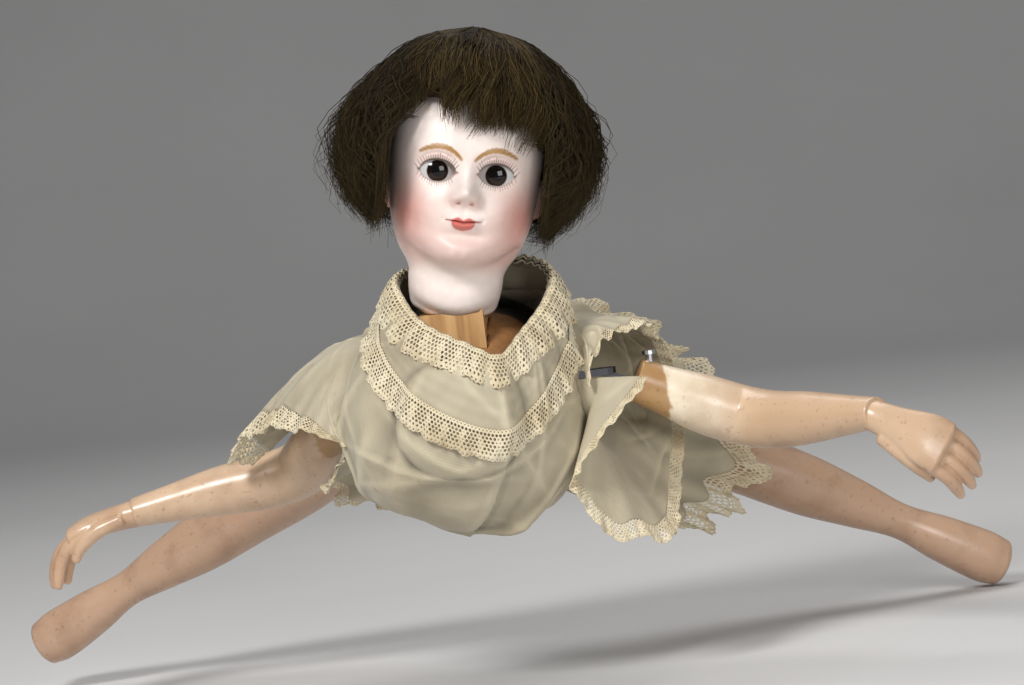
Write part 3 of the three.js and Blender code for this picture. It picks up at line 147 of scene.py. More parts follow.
# Numbers
def between(keys, x):
    """Smooth cubic through the keys (position, value), sloped at each key as its neighbours' chord."""
    keys = np.asarray(keys, float)
    spot, value = keys[:, 0], keys[:, 1]
    before = np.maximum(np.arange(len(keys)) - 1, 0)
    after = np.minimum(np.arange(len(keys)) + 1, len(keys) - 1)
    slope = (value[after] - value[before]) / (spot[after] - spot[before])
    k = np.clip(np.searchsorted(spot, x) - 1, 0, len(keys) - 2)
    step = spot[k + 1] - spot[k]
    t = np.clip((x - spot[k]) / step, 0, 1)
    s, c = t * t, t * t * t
    return ((2 * c - 3 * s + 1) * value[k] + (c - 2 * s + t) * step * slope[k]
            + (3 * s - 2 * c) * value[k + 1] + (c - s) * step * slope[k + 1])


def loop_through(points, t):
    """Closed curve through the points: at share t of the round, a cubic with chord slopes at two points."""
    points = np.asarray(points, float)
    count = len(points)
    spot = np.mod(t, 1) * count
    k = np.floor(spot).astype(int) % count
    s = (spot - np.floor(spot))[..., None]
    a, b, c, d = (points[(k + i) % count] for i in (-1, 0, 1, 2))
    return 0.5 * (2 * b + (c - a) * s + (2 * a - 5 * b + 4 * c - d) * s ** 2
                  + (3 * b - a - 3 * c + d) * s ** 3)


def bell(x, z, cx, cz, wide, high):
    """Smooth hill of height 1 about a spot: e to the minus squared distance, in units of its two widths."""
    return np.exp(-((x - cx) / wide) ** 2 - ((z - cz) / high) ** 2)


def ease(low, high, x):
    """0 below low, 1 above high, and a smooth rise between."""
    t = np.clip((x - low) / (high - low), 0, 1)
    return t * t * (3 - 2 * t)


def unit(vectors):
    """Vectors of length 1 in the same directions."""
    return vectors / np.maximum(np.linalg.norm(vectors, axis=-1, keepdims=True), 1e-9)


def creases(u, v, seed, count=7, coarse=3.0, fine=11.0):
    """Soft random folds from -1 to 1: a sum of waves whose places bend with one another."""
    dice = np.random.default_rng(seed)
    total = np.zeros(np.broadcast(u, v).shape)
    for pitch in np.linspace(coarse, fine, count):
        turn, shift, bend = dice.uniform(0, 2 * np.pi, 3)
        along = np.cos(turn) * u + np.sin(turn) * v
        across = np.cos(turn) * v - np.sin(turn) * u
        bent = 1.3 * np.sin(2 * np.pi * across * pitch * 0.37 + bend)
        wave = np.sin(2 * np.pi * pitch * along + shift + bent)
        total += wave * coarse / pitch
    return total / count


def wrinkles(u, v, seed, count, ratio, spread=1.0, thick=0.023, rise=4.8):
    """Height of cloth wrinkles in millimetres: soft ridges and hollows, each along a slanting line of the
    cloth and fading towards its ends. `ratio` is the cloth's width over its length, and `spread` the share
    of the width that they keep to, about the cloth's edge."""
    dice = np.random.default_rng(seed)
    height = np.zeros(np.broadcast(u, v).shape)
    for _ in range(count):
        mid_u, mid_v = spread * dice.uniform(-0.5, 0.5), dice.uniform(0.1, 1)
        slant = dice.normal(math.pi / 2, 0.65)
        long, wide = dice.uniform(0.16, 0.42), thick * dice.uniform(0.6, 1.8)
        tall = rise * dice.uniform(-0.3, 1)
        a, b = ((u - mid_u + 0.5) % 1 - 0.5) * ratio, v - mid_v
        along = a * math.cos(slant) + b * math.sin(slant)
        across = b * math.cos(slant) - a * math.sin(slant)
        height = height + tall * np.exp(-np.sqrt((across / wide) ** 2 + 0.04) - (along / long) ** 2)
    return height


# Meshes
def grid_faces(rows, columns, ring):
    """Four-sided faces of a grid of points, joined round its rows when it is a ring."""
    row, column = np.mgrid[0:rows - 1, 0:columns if ring else columns - 1]
    a = row * columns + column
    b = row * columns + (column + 1) % columns
    return np.stack([a, b, b + columns, a + columns], -1).reshape(-1, 4)


def fan(ring_start, columns, hub, outwards):
    """Three-sided faces from one ring of points to a hub."""
    a = ring_start + np.arange(columns)
    b = ring_start + (np.arange(columns) + 1) % columns
    hubs = np.full(columns, hub)
    return np.stack([hubs, a, b] if outwards else [hubs, b, a], -1)


def put_paint(mesh, paint):
    """Writes a colour for each point of a mesh."""
    colour = mesh.attributes.new("Paint", "FLOAT_COLOR", "POINT")
    full = np.concatenate([paint, np.ones((len(paint), 1))], 1)
    colour.data.foreach_set("color", full.astype(np.float32).ravel())


def points_of(mesh):
    """All points of a mesh as an array."""
    spots = np.zeros(len(mesh.vertices) * 3)
    mesh.vertices.foreach_get("co", spots)
    return spots.reshape(-1, 3)


def make_piece(name, points, faces, material, uv=None, paint=None):
    """Mesh object from points in millimetres and lists of faces, with a UV and a colour for each point."""
    mesh = bpy.data.meshes.new(name)
    corners = [face for group in faces for face in np.asarray(group).tolist()]
    mesh.from_pydata((np.asarray(points) * MM).tolist(), [], corners)
    mesh.polygons.foreach_set("use_smooth", np.ones(len(mesh.polygons), bool))
    if uv is not None:
        layer = mesh.uv_layers.new(name="Cut")
        spots = np.zeros(len(mesh.loops), np.int32)
        mesh.loops.foreach_get("vertex_index", spots)
        layer.data.foreach_set("uv", np.asarray(uv, np.float32)[spots].ravel())
    if paint is not None:
        put_paint(mesh, paint)
    mesh.update()
    piece = bpy.data.objects.new(name, mesh)
    bpy.context.scene.collection.objects.link(piece)
    mesh.materials.append(material)
    return piece


def outwards(points, faces):
    """Faces turned so that the closed shape they bound has a positive volume."""
    volume = 0.0
    for group in faces:
        group = np.asarray(group)
        for k in range(1, group.shape[1] - 1):
            a, b, c = points[group[:, 0]], points[group[:, k]], points[group[:, k + 1]]
            volume += np.einsum("ij,ij->i", a, np.cross(b, c)).sum()
    return [np.asarray(g)[:, ::-1] for g in faces] if volume < 0 else faces


def closed_rings(rings):
    """Points and faces of a skin over rings (row, side, xyz), with a fan to the middle of each end ring."""
    rows, columns, _ = rings.shape
    points = np.concatenate([rings.reshape(-1, 3), rings[0].mean(0)[None], rings[-1].mean(0)[None]])
    faces = [
        grid_faces(rows, columns, True),
        fan(0, columns, rows * columns, False),
        fan((rows - 1) * columns, columns, rows * columns + 1, True),
    ]
    return points, outwards(points, faces)


def swept(stations, sides, rows, first_round=0.5, last_round=0.5):
    """Rings about a smooth path through stations (x, y, z, half width, half height). Each ring is an ellipse
    square to the path, and the ends close with quarter ellipses that bulge along the path."""
    stations = np.asarray(stations, float)
    marks = np.arange(len(stations))
    t = np.linspace(0, len(stations) - 1, rows)
    path = np.stack([between(np.stack([marks, stations[:, k]], 1), t) for k in range(5)], 1)
    centre, size = path[:, :3], path[:, 3:]
    ahead = unit(np.gradient(centre, axis=0))
    across = unit(np.cross(ahead, [0, 0, 1]))
    high = np.cross(across, ahead)
    caps = 7
    dome = np.linspace(0, np.pi / 2, caps + 2)[1:-1]
    grow, shrink = np.sin(dome)[:, None], np.cos(dome)[:, None]
    first = centre[0] - ahead[0] * grow * first_round * size[0].min()
    last = centre[-1] + ahead[-1] * grow * last_round * size[-1].min()
    centre = np.concatenate([first[::-1], centre, last])
    size = np.concatenate([(size[0] * shrink)[::-1], size, size[-1] * shrink])
    across = np.concatenate([np.repeat(across[:1], caps, 0), across, np.repeat(across[-1:], caps, 0)])
    high = np.concatenate([np.repeat(high[:1], caps, 0), high, np.repeat(high[-1:], caps, 0)])
    turn = np.linspace(0, 2 * np.pi, sides, endpoint=False)
    return (centre[:, None] + across[:, None] * (size[:, :1] * np.cos(turn))[..., None]
            + high[:, None] * (size[:, 1:] * np.sin(turn))[..., None])


def finish_piece(piece, body, slot, *nodes):
    """Rides a piece on its body and hides the solids that it stands for. `slot` is not used."""
    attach(piece, body)
    if nodes:
        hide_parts(*nodes)
    return piece


def bake_shape(piece):
    """Writes the result of a piece's modifiers into its mesh."""
    graph = bpy.context.evaluated_depsgraph_get()
    made = bpy.data.meshes.new_from_object(piece.evaluated_get(graph))
    piece.modifiers.clear()
    old = piece.data
    piece.data = made
    bpy.data.meshes.remove(old)
    made.polygons.foreach_set("use_smooth", np.ones(len(made.polygons), bool))


def thicken(piece, thickness):
    """Gives a sheet its thickness, half to each side."""
    wall = piece.modifiers.new("Thickness", "SOLIDIFY")
    wall.thickness = thickness * MM
    wall.offset = 0
    return piece


# Materials
def new_material(name, colour, roughness, metallic=0.0):
    """Material with a principled shader whose even values sit on its own sockets."""
    material = bpy.data.materials.new(name)
    material.use_nodes = True
    shader = material.node_tree.nodes["Principled BSDF"]
    shader.inputs["Base Color"].default_value = (*colour, 1)
    shader.inputs["Roughness"].default_value = roughness
    shader.inputs["Metallic"].default_value = metallic
    return material, material.node_tree, shader


def noise(tree, scale, detail=4.0, stretch=(1, 1, 1), coordinates="Object"):
    """Cloudy pattern on the piece's own coordinates, with `scale` clouds in a metre."""
    place = tree.nodes.new("ShaderNodeTexCoord")
    mapping = tree.nodes.new("ShaderNodeMapping")
    mapping.inputs["Scale"].default_value = stretch
    cloud = tree.nodes.new("ShaderNodeTexNoise")
    cloud.inputs["Scale"].default_value = scale
    cloud.inputs["Detail"].default_value = detail
    tree.links.new(place.outputs[coordinates], mapping.inputs["Vector"])
    tree.links.new(mapping.outputs["Vector"], cloud.inputs["Vector"])
    return cloud.outputs["Fac"]


def ramp(tree, value, stops):
    """Colours along a value, from (place, colour) stops."""
    node = tree.nodes.new("ShaderNodeValToRGB")
    while len(node.color_ramp.elements) < len(stops):
        node.color_ramp.elements.new(0.5)
    for element, (place, colour) in zip(node.color_ramp.elements, stops):
        element.position = place
        element.color = (*colour, 1)
    tree.links.new(value, node.inputs["Fac"])
    return node.outputs["Color"]


def tint(tree, first, second, share, kind="MULTIPLY"):
    """Two colours laid over one another."""
    node = tree.nodes.new("ShaderNodeMix")
    node.data_type = "RGBA"
    node.blend_type = kind
    node.inputs["Factor"].default_value = share
    tree.links.new(first, node.inputs["A"])
    tree.links.new(second, node.inputs["B"])
    return node.outputs["Result"]


def rough_by(tree, shader, value, low, high):
    """Roughness that follows a pattern between two values."""
    span = tree.nodes.new("ShaderNodeMapRange")
    span.inputs["To Min"].default_value = low
    span.inputs["To Max"].default_value = high
    tree.links.new(value, span.inputs["Value"])
    tree.links.new(span.outputs["Result"], shader.inputs["Roughness"])


def bump_by(tree, shader, height, strength, distance):
    """Small relief from a pattern, `distance` millimetres deep."""
    node = tree.nodes.new("ShaderNodeBump")
    node.inputs["Strength"].default_value = strength
    node.inputs["Distance"].default_value = distance * MM
    tree.links.new(height, node.inputs["Height"])
    previous = shader.inputs["Normal"].links
    if previous:
        tree.links.new(previous[0].from_socket, node.inputs["Normal"])
    tree.links.new(node.outputs["Normal"], shader.inputs["Normal"])


def paint_of(tree):
    """The colour written on the piece's points."""
    node = tree.nodes.new("ShaderNodeAttribute")
    node.attribute_name = "Paint"
    return node.outputs["Color"]


def bisque_material():
    """Matt painted bisque: the point colours with a faint mottle and fine pores."""
    material, tree, shader = new_material("Painted bisque", (0.8, 0.62, 0.55), 0.42)
    mottle = ramp(tree, noise(tree, 260), [(0.3, (0.95, 0.93, 0.92)), (0.7, (1, 1, 1))])
    tree.links.new(tint(tree, paint_of(tree), mottle, 1.0), shader.inputs["Base Color"])
    shader.inputs["Subsurface Weight"].default_value = 0.12
    shader.inputs["Subsurface Radius"].default_value = (0.004, 0.002, 0.0012)
    shader.inputs["Subsurface Scale"].default_value = 0.4
    rough_by(tree, shader, noise(tree, 700), 0.36, 0.5)
    bump_by(tree, shader, noise(tree, 2400, 2), 0.12, 0.05)
    return material


def flesh_material():
    """Old satin flesh paint on wood: the point colours, dark handling marks and specks, and brush grain."""
    material, tree, shader = new_material("Flesh paint", (0.6, 0.36, 0.24), 0.3)
    worn = ramp(tree, noise(tree, 55, 6), [(0.28, (0.8, 0.74, 0.7)), (0.5, (1, 1, 1)),
                                           (0.8, (1, 0.96, 0.92))])
    specks = ramp(tree, noise(tree, 420, 3), [(0.30, (0.62, 0.5, 0.42)), (0.37, (1, 1, 1))])
    base = tint(tree, tint(tree, paint_of(tree), worn, 1.0), specks, 0.5)
    tree.links.new(base, shader.inputs["Base Color"])
    rough_by(tree, shader, noise(tree, 180, 5), 0.2, 0.42)
    bump_by(tree, shader, noise(tree, 160, 5), 0.25, 0.25)
    bump_by(tree, shader, noise(tree, 900, 3), 0.2, 0.06)
    shader.inputs["Coat Weight"].default_value = 0.25
    shader.inputs["Coat Roughness"].default_value = 0.22
    return material


def wood_material():
    """Bare limewood: long grain lines stretched along the height, with a dry bump."""
    material, tree, shader = new_material("Bare wood", (0.5, 0.27, 0.1), 0.6)
    grain = noise(tree, 220, 6, (1.0, 1.0, 0.08))
    colour = ramp(tree, grain, [(0.25, (0.3, 0.14, 0.045)), (0.5, (0.52, 0.29, 0.11)),
                                (0.75, (0.66, 0.4, 0.18))])
    tree.links.new(colour, shader.inputs["Base Color"])
    rough_by(tree, shader, grain, 0.5, 0.75)
    bump_by(tree, shader, grain, 0.4, 0.2)
    return material


def cork_material():
    """Bare cork: brown grains with dark pits."""
    material, tree, shader = new_material("Cork", (0.35, 0.17, 0.06), 0.85)
    pits = noise(tree, 380, 6)
    colour = ramp(tree, pits, [(0.3, (0.06, 0.025, 0.01)), (0.45, (0.3, 0.14, 0.05)),
                               (0.7, (0.5, 0.27, 0.1))])
    tree.links.new(colour, shader.inputs["Base Color"])
    bump_by(tree, shader, pits, 0.7, 0.6)
    return material


def black_material():
    """Painted cork: the point colours, satin, with the cork's pits showing through."""
    material, tree, shader = new_material("Black painted cork", (0.012, 0.013, 0.016), 0.35)
    pits = noise(tree, 320, 5)
    shade = ramp(tree, pits, [(0.26, (0.45, 0.35, 0.3)), (0.4, (1, 1, 1)), (0.8, (1.25, 1.2, 1.15))])
    tree.links.new(tint(tree, paint_of(tree), shade, 1.0), shader.inputs["Base Color"])
    rough_by(tree, shader, noise(tree, 120, 4), 0.25, 0.5)
    bump_by(tree, shader, pits, 0.5, 0.35)
    return material


def metal_material(name, colour, roughness, tarnish, amount):
    """Metal with a tarnish in clouds and fine turning marks."""
    material, tree, shader = new_material(name, colour, roughness, 1.0)
    clouds = noise(tree, 130, 6)
    aged = ramp(tree, clouds, [(amount, tarnish), (amount + 0.22, colour)])
    tree.links.new(aged, shader.inputs["Base Color"])
    rough_by(tree, shader, clouds, roughness + 0.2, roughness)
    bump_by(tree, shader, noise(tree, 1500, 2), 0.15, 0.05)
    return material


# Distance between two bands of the wave pattern at scale 1
WAVE_BAND = 0.314


def weave(tree, pitch):
    """Height of a plain weave on the cut's coordinates: two crossing sets of threads, `pitch` mm apart."""
    place = tree.nodes.new("ShaderNodeTexCoord")
    heights = []
    for direction in ("X", "Y"):
        threads = tree.nodes.new("ShaderNodeTexWave")
        threads.bands_direction = direction
        threads.inputs["Scale"].default_value = WAVE_BAND / (pitch * MM)
        threads.inputs["Distortion"].default_value = 0.6
        tree.links.new(place.outputs["UV"], threads.inputs["Vector"])
        heights.append(threads.outputs["Color"])
    return tint(tree, heights[0], heights[1], 0.5, "MIX")


def dress_material():
    """Faded grey-green cotton sateen: a weave, painted light and shade that follow the folds, age stains
    and a soft sheen.
    """
    material, tree, shader = new_material("Faded sateen", (0.4, 0.38, 0.26), 0.62)
    fade = ramp(tree, noise(tree, 28, 5), [(0.25, (0.36, 0.305, 0.205)), (0.5, (0.47, 0.41, 0.29)),
                                          (0.8, (0.54, 0.475, 0.345))])
    stain = ramp(tree, noise(tree, 75, 6), [(0.24, (0.74, 0.60, 0.42)), (0.33, (1, 1, 1))])
    threads = ramp(tree, weave(tree, 0.55), [(0.1, (0.88, 0.88, 0.86)), (0.8, (1, 1, 1))])
    colour = tint(tree, tint(tree, fade, stain, 0.8), threads, 0.9)
    # The point colours are painted light on the folds' crests and painted shade in their hollows
    tree.links.new(tint(tree, colour, paint_of(tree), 1.0), shader.inputs["Base Color"])
    shader.inputs["Sheen Weight"].default_value = 0.25
    shader.inputs["Sheen Roughness"].default_value = 0.4
    rough_by(tree, shader, noise(tree, 90, 4), 0.5, 0.7)
    bump_by(tree, shader, noise(tree, 85, 6, (1, 1, 0.5)), 0.6, 2.0)
    bump_by(tree, shader, noise(tree, 240, 4), 0.25, 0.5)
    bump_by(tree, shader, weave(tree, 0.55), 0.2, 0.08)
    return material


def lace_material():
    """Cream cotton lace, yellowed in clouds, with twisted thread relief."""
    material, tree, shader = new_material("Cotton lace", (0.62, 0.52, 0.33), 0.8)
    age = ramp(tree, noise(tree, 60, 5), [(0.25, (0.52, 0.41, 0.24)), (0.5, (0.72, 0.62, 0.42)),
                                         (0.8, (0.80, 0.72, 0.54))])
    tree.links.new(age, shader.inputs["Base Color"])
    shader.inputs["Sheen Weight"].default_value = 0.2
    bump_by(tree, shader, noise(tree, 2600, 2), 0.5, 0.12)
    return material


def hair_material():
    """Brown mohair: the strands' own colours with a soft gloss along them."""
    material, tree, shader = new_material("Mohair", (0.07, 0.038, 0.015), 0.5)
    streak = ramp(tree, noise(tree, 300, 3), [(0.3, (0.75, 0.72, 0.7)), (0.7, (1.15, 1.1, 1.05))])
    tree.links.new(tint(tree, paint_of(tree), streak, 1.0), shader.inputs["Base Color"])
    rough_by(tree, shader, noise(tree, 500, 3), 0.5, 0.7)
    shader.inputs["Specular IOR Level"].default_value = 0.16
    return material


def glass_eye_material():
    """Blown glass eye: the painted iris and white under a clear, hard gloss."""
    material, tree, shader = new_material("Glass eye", (0.8, 0.8, 0.8), 0.06)
    veins = ramp(tree, noise(tree, 900, 4), [(0.3, (0.93, 0.9, 0.9)), (0.6, (1, 1, 1))])
    tree.links.new(tint(tree, paint_of(tree), veins, 1.0), shader.inputs["Base Color"])
    shader.inputs["Specular IOR Level"].default_value = 0.32
    return material


BISQUE = bisque_material()
FLESH = flesh_material()
WOOD = wood_material()
CORK = cork_material()
BLACK = black_material()
SATEEN = dress_material()
LACE = lace_material()
MOHAIR = hair_material()
EYE_GLASS = glass_eye_material()
STEEL = metal_material("Bright steel", (0.62, 0.63, 0.65), 0.22, (0.25, 0.2, 0.16), 0.2)
IRON = metal_material("Dark iron", (0.09, 0.09, 0.1), 0.38, (0.11, 0.05, 0.025), 0.28)
BRASS = metal_material("Old brass", (0.58, 0.41, 0.16), 0.3, (0.22, 0.13, 0.05), 0.32)
SLOT_MATERIALS = {
    "cork_painted": BLACK, "cork": CORK, "wood": WOOD, "flesh_paint": FLESH, "bisque": BISQUE,
    "eye_glass": EYE_GLASS, "hair": MOHAIR, "cloth": SATEEN, "iron": IRON, "steel": STEEL, "brass": BRASS,
}
for row in frame["record"]["subparts"]:
    finishes = frame["nodes"][row["node"]].data.materials
    finishes.clear()
    finishes.append(SLOT_MATERIALS[row["material_slot"]])


# Body
def body_section(y, grow):
    """Half width, half height and middle height of the body at y, grown by a distance."""
    inside = np.clip(y, BODY_FRONT, BODY_REAR)
    half, low, high = (between(BODY_KEYS[:, [0, k]], inside) for k in (1, 2, 3))
    return half + grow, (high - low) / 2 + grow, (high + low) / 2


def body_point(y, turn, grow):
    """Point of the body's section, a rounded square: cosine and sine to the power 2 / squareness."""
    half, rise, middle = body_section(y, grow)
    c, s = np.cos(turn), np.sin(turn)
    power = 2 / BODY_SQUARENESS
    return np.stack(np.broadcast_arrays(half * np.sign(c) * np.abs(c) ** power, y,
                                        middle + rise * np.sign(s) * np.abs(s) ** power), -1)


def cork_body():
    """Painted cork body: rounded-square sections along y, drawn in to a blunt end front and rear, cut flat
    at z 0, with the openings of the shoulders, hips, neck and key left out of the grid."""
    ends = 5
    y = np.linspace(BODY_FRONT, BODY_REAR, 150)
    y = np.concatenate([np.full(ends, BODY_FRONT), y, np.full(ends, BODY_REAR)])
    turn = np.linspace(0, 2 * np.pi, 180, endpoint=False)
    pull = np.ones(len(y))
    pull[:ends], pull[-ends:] = np.linspace(0.02, 0.9, ends), np.linspace(0.9, 0.02, ends)
    points = body_point(y[:, None], turn[None], 0.0)
    middle = body_section(y, 0)[2]
    points[..., 0] *= pull[:, None]
    points[..., 2] = middle[:, None] + (points[..., 2] - middle[:, None]) * pull[:, None]
    points[..., 2] = np.maximum(points[..., 2], 0)
    rows, columns, _ = points.shape
    flat = points.reshape(-1, 3)
    faces = grid_faces(rows, columns, True)
    x, yy, z = flat[faces].mean(1).T
    wide = np.abs(x) > 20
    shoulder = wide & (yy > SHOULDER_SLOT["y"][0]) & (yy < SHOULDER_SLOT["y"][1]) & (
        z > SHOULDER_SLOT["z"][0]) & (z < SHOULDER_SLOT["z"][1])
    hip = wide & (yy > HIP_SLOT["y"][0]) & (z > HIP_SLOT["z"][0]) & (z < HIP_SLOT["z"][1])
    neck = (np.abs(x) < NECK_HOLE["x"]) & (yy > NECK_HOLE["y"][0]) & (yy < NECK_HOLE["y"][1]) & (z > 60)
    key = (np.hypot(x, yy - BARREL_Y) < KEY_HOLE_R + 2.8) & (z > 60)
    faces = faces[~(shoulder | hip | neck | key)]
    points, faces = flat, [faces]
    away = np.hypot(points[:, 0] - 6, (points[:, 1] + 60) * 0.9)
    away = away + 3 * creases(points[:, 0] / 30, points[:, 1] / 30, 7)
    bare = (ease(31, 29, away) * (points[:, 2] > 50))[:, None]
    paint = np.array([0.014, 0.015, 0.018]) * (1 - bare) + np.array([0.30, 0.145, 0.055]) * bare
    body = make_piece("cork_body", points, outwards(points, faces), BLACK, paint=paint)
    wall = body.modifiers.new("Wall", "SOLIDIFY")
    wall.thickness = 3.0 * MM
    wall.offset = -1
    return finish_piece(body, "torso", "cork_painted", "torso_belly_shell", "torso_back_shell")


cork_body()


# Limbs
def outward(side, back):
    """Flat direction to one side, turned back by an angle in degrees."""
    return np.array([side * math.cos(math.radians(back)), math.sin(math.radians(back))])


def flesh_colours(points, start, way, bare, seed, near, far):
    """Flesh paint with bare wood near the joint, up to a ragged edge, going over from one tone to another."""
    reach = (points[:, :2] - start) @ way
    ragged = 3.0 * creases(points[:, 1] / 30, points[:, 2] / 30, seed)
    paint = ease(-0.5, 0.5, reach - bare + ragged)[:, None]
    out = ease(50, 92, reach + 2 * ragged)[:, None]
    flesh = np.array(near) * (1 - out) + np.array(far) * out
    return np.array([0.46, 0.27, 0.115]) * (1 - paint) + flesh * paint


def arm(name):
    """Upper arm and bent forearm: an ellipse swept through stations from the shoulder to the wrist."""
    side = SIDES[name]
    pivot = SHOULDER * [side, 1]
    upper, fore = outward(side, ARM_BACK[name]), outward(side, ARM_BACK[name] - ELBOW_BEND)
    elbow = pivot + upper * ARM_ELBOW
    slope = (ELBOW_Z[name] - ARM_TOP_Z) / (ARM_ELBOW - ARM_START)

    def spot(r, wide, high, lift=0.0):
        return (*(pivot + upper * r), ARM_TOP_Z + (r - ARM_START) * slope + lift, wide, high)

    def step(share, fall, wide, high):
        z = ELBOW_Z[name] + (WRIST_Z[name] + 1 - ELBOW_Z[name]) * fall
        return (*(elbow + fore * ARM_FORE * share), z, wide, high)

    stations = [
        spot(ARM_START, 8.5, 9.5), spot(ARM_START + 12, 9.8, 10.6), spot(ARM_ELBOW - 20, 12.5, 12.8),
        spot(ARM_ELBOW - 4, 12.8, 13, 1), step(0.18, 0.1, 12.2, 12.6), step(0.47, 0.35, 10.8, 11.2),
        step(0.76, 0.7, 8.6, 8.6), step(1, 1, 7.2, 6.6),
    ]
    points, faces = closed_rings(swept(stations, 56, 130, 0.12, 0.05))
    # The right arm's paler tone near the shoulder is its paint with painted light on the upper arm
    near, far = ARM_PAINT_AND_PAINTED_LIGHT[name]
    paint = flesh_colours(points, pivot, upper, ARM_START + 12, 3, near, far)
    piece = make_piece(f"{name}_arm_painted", points, faces, FLESH, paint=paint)
    finish_piece(piece, f"{name}_arm", "flesh_paint", f"{name}_arm")
    return elbow + fore * (ARM_FORE - 3)


def hand(name, wrist):
    """Carved hand: a palm and five fingers, each an ellipse swept along its bones, fused and smoothed into
    one skin. It is made along +X, then rolled, bent down at the wrist and turned to its place."""
    parts = [swept([(r, 0, 0.6 - drop, wide, high) for r, drop, wide, high in PALM], 28, 40)]
    digits = [(FINGER, *spot) for spot in FINGER_SPOTS] + [(THUMB, -THUMB_OFF * SIDES[name], 1.0)]
    for bones, off, reach in digits:
        parts.append(swept([(r * reach, off * (0.55 + 0.45 * min(1, r / 24)), -drop, wide, high)
                            for r, drop, wide, high in bones], 18, 36, 0.5, 0.8))
    points, faces = [], []
    for rings in parts:
        some, sides = closed_rings(rings)
        faces += [np.asarray(f) + sum(len(p) for p in points) for f in sides]
        points.append(some)
    way = outward(SIDES[name], ARM_BACK[name] - ELBOW_BEND + HAND_OUT[name])
    bend = Matrix.Rotation(math.radians(HAND_DOWN[name]), 3, "Y")
    roll = Matrix.Rotation(math.radians(HAND_ROLL[name]), 3, "X")
    turn = Matrix.Rotation(math.atan2(way[1], way[0]), 3, "Z") @ bend @ roll
    points = np.concatenate(points) @ np.array(turn).T + [*wrist, WRIST_Z[name]]
    piece = make_piece(f"{name}_hand_carved", points, faces, FLESH)
    skin = piece.modifiers.new("One skin", "REMESH")
    skin.mode = "VOXEL"
    skin.voxel_size = 0.5 * MM
    skin.use_smooth_shade = True
    soften = piece.modifiers.new("Carving", "SMOOTH")
    soften.factor = 0.5
    soften.iterations = 4
    bake_shape(piece)
    away = np.linalg.norm(points_of(piece.data) / MM - [*wrist, WRIST_Z[name]], axis=1)
    tips = ease(24, 44, away)[:, None]
    put_paint(piece.data, np.array([0.61, 0.42, 0.275]) * (1 - tips) + np.array([0.58, 0.37, 0.235]) * tips)
    finish_piece(piece, f"{name}_arm", "flesh_paint", f"{name}_hand")


def leg(name):
    """Leg: an ellipse swept from the hip to the toes, narrow at the ankle and rounded off at the toes."""
    side = SIDES[name]
    pivot = HIP * [side, 1]
    way = outward(side, LEG_BACK)
    slope = -LEG_DROP[name] / (LEG_REACH - LEG_START)
    stations = []
    for share, wide, high, lift in LEG_STATIONS:
        r = LEG_START + share * (LEG_REACH - LEG_START)
        stations.append((*(pivot + way * r), LEG_LEVER_Z + max(0, r - LEG_BEND) * slope + lift, wide, high))
    points, faces = closed_rings(swept(stations, 56, 130, 0.15, 0.45))
    paint = flesh_colours(points, pivot, way, LEG_START + 5, 5, (0.55, 0.37, 0.26), (0.51, 0.33, 0.22))
    piece = make_piece(f"{name}_leg_painted", points, faces, FLESH, paint=paint)
    finish_piece(piece, f"{name}_leg", "flesh_paint", f"{name}_leg")


for limb_side in SIDES:
    hand(limb_side, arm(limb_side))
    leg(limb_side)


# Head
def on_neck(points):
    """Points of the head turned and tilted to its place on the neck."""
    tilt, turn = math.radians(HEAD_TILT), math.radians(HEAD_TURN)
    x, y, z = np.moveaxis(np.asarray(points, float), -1, 0)
    x, z = x * math.cos(tilt) + z * math.sin(tilt), z * math.cos(tilt) - x * math.sin(tilt)
    x, y = x * math.cos(turn) - y * math.sin(turn), x * math.sin(turn) + y * math.cos(turn)
    return np.stack([x, y + HEAD_Y, z + NECK_TOP_Z], -1)


# Half width, front depth and back depth of the head by height
HEAD_WIDE = [(0, 12), (3, 17.2), (8, 19.2), (15, 20.2), (19, 20.4), (23, 22.2), (27, 24.9), (33, 27.6),
             (44, 30.6), (58, 32), (72, 33), (86, 31), (98, 25), (107, 14.5), (CROWN, 3)]
HEAD_FRONT = [(0, 12), (3, 17), (8, 18.5), (15, 18.5), (20, 22), (23, 30), (28, 34), (36, 34), (44, 34.4),
              (58, 34.4), (70, 36), (82, 34), (95, 27), (107, 14), (CROWN, 3)]
HEAD_BACK = [(0, 12), (3, 16), (8, 17.5), (15, 18), (22, 19), (32, 23), (44, 30), (58, 37), (72, 40),
             (86, 37), (98, 28), (107, 15), (CROWN, 3)]
BISQUE_WHITE = (0.85, 0.74, 0.68)
JAW = {"half": 21, "rise": 8, "low": 28, "high": 50}
LID = {"half": 7.5, "upper": 4.8, "lower": 4.4}
IRIS_R = 4.2
MOUTH_UP, MOUTH_HALF = 40.8, 7.9
BROW = [(2.8, 67.6), (6, 70.4), (11, 72.2), (16, 71.4), (20.5, 69.0)]


def eye_opening(x, z):
    """How far a spot lies inside the almond between the lids, in millimetres, negative outside."""
    p = np.clip((np.abs(x) - EYE_X) / LID["half"], -4, 4)
    inside = np.maximum(1 - p * p, 0)
    top = LID["upper"] * inside ** 0.55 + 0.2 * p
    foot = LID["lower"] * inside ** 0.7
    rise = z - EYE_UP
    across = (1 - np.abs(p)) * LID["half"] * 0.9
    return np.minimum(np.minimum(top - rise, rise + foot), across + 0.4)


def lip_shape(x):
    """Heights of the top of the upper lip, the line of the mouth and the foot of the lower lip."""
    m = np.abs(x)
    p = np.clip(m / MOUTH_HALF, 0, 1)
    line = MOUTH_UP + 0.5 * p ** 2 - 0.3 * np.exp(-(x / 1.6) ** 2)
    top = line + 0.5 * (1 - p) + 1.35 * np.exp(-((m - 2.4) / 2.4) ** 2) * (1 - p ** 3)
    foot = line - 0.3 * (1 - p) - 3.3 * np.maximum(1 - (m / 4.9) ** 4, 0) ** 0.5
    return top, line, foot


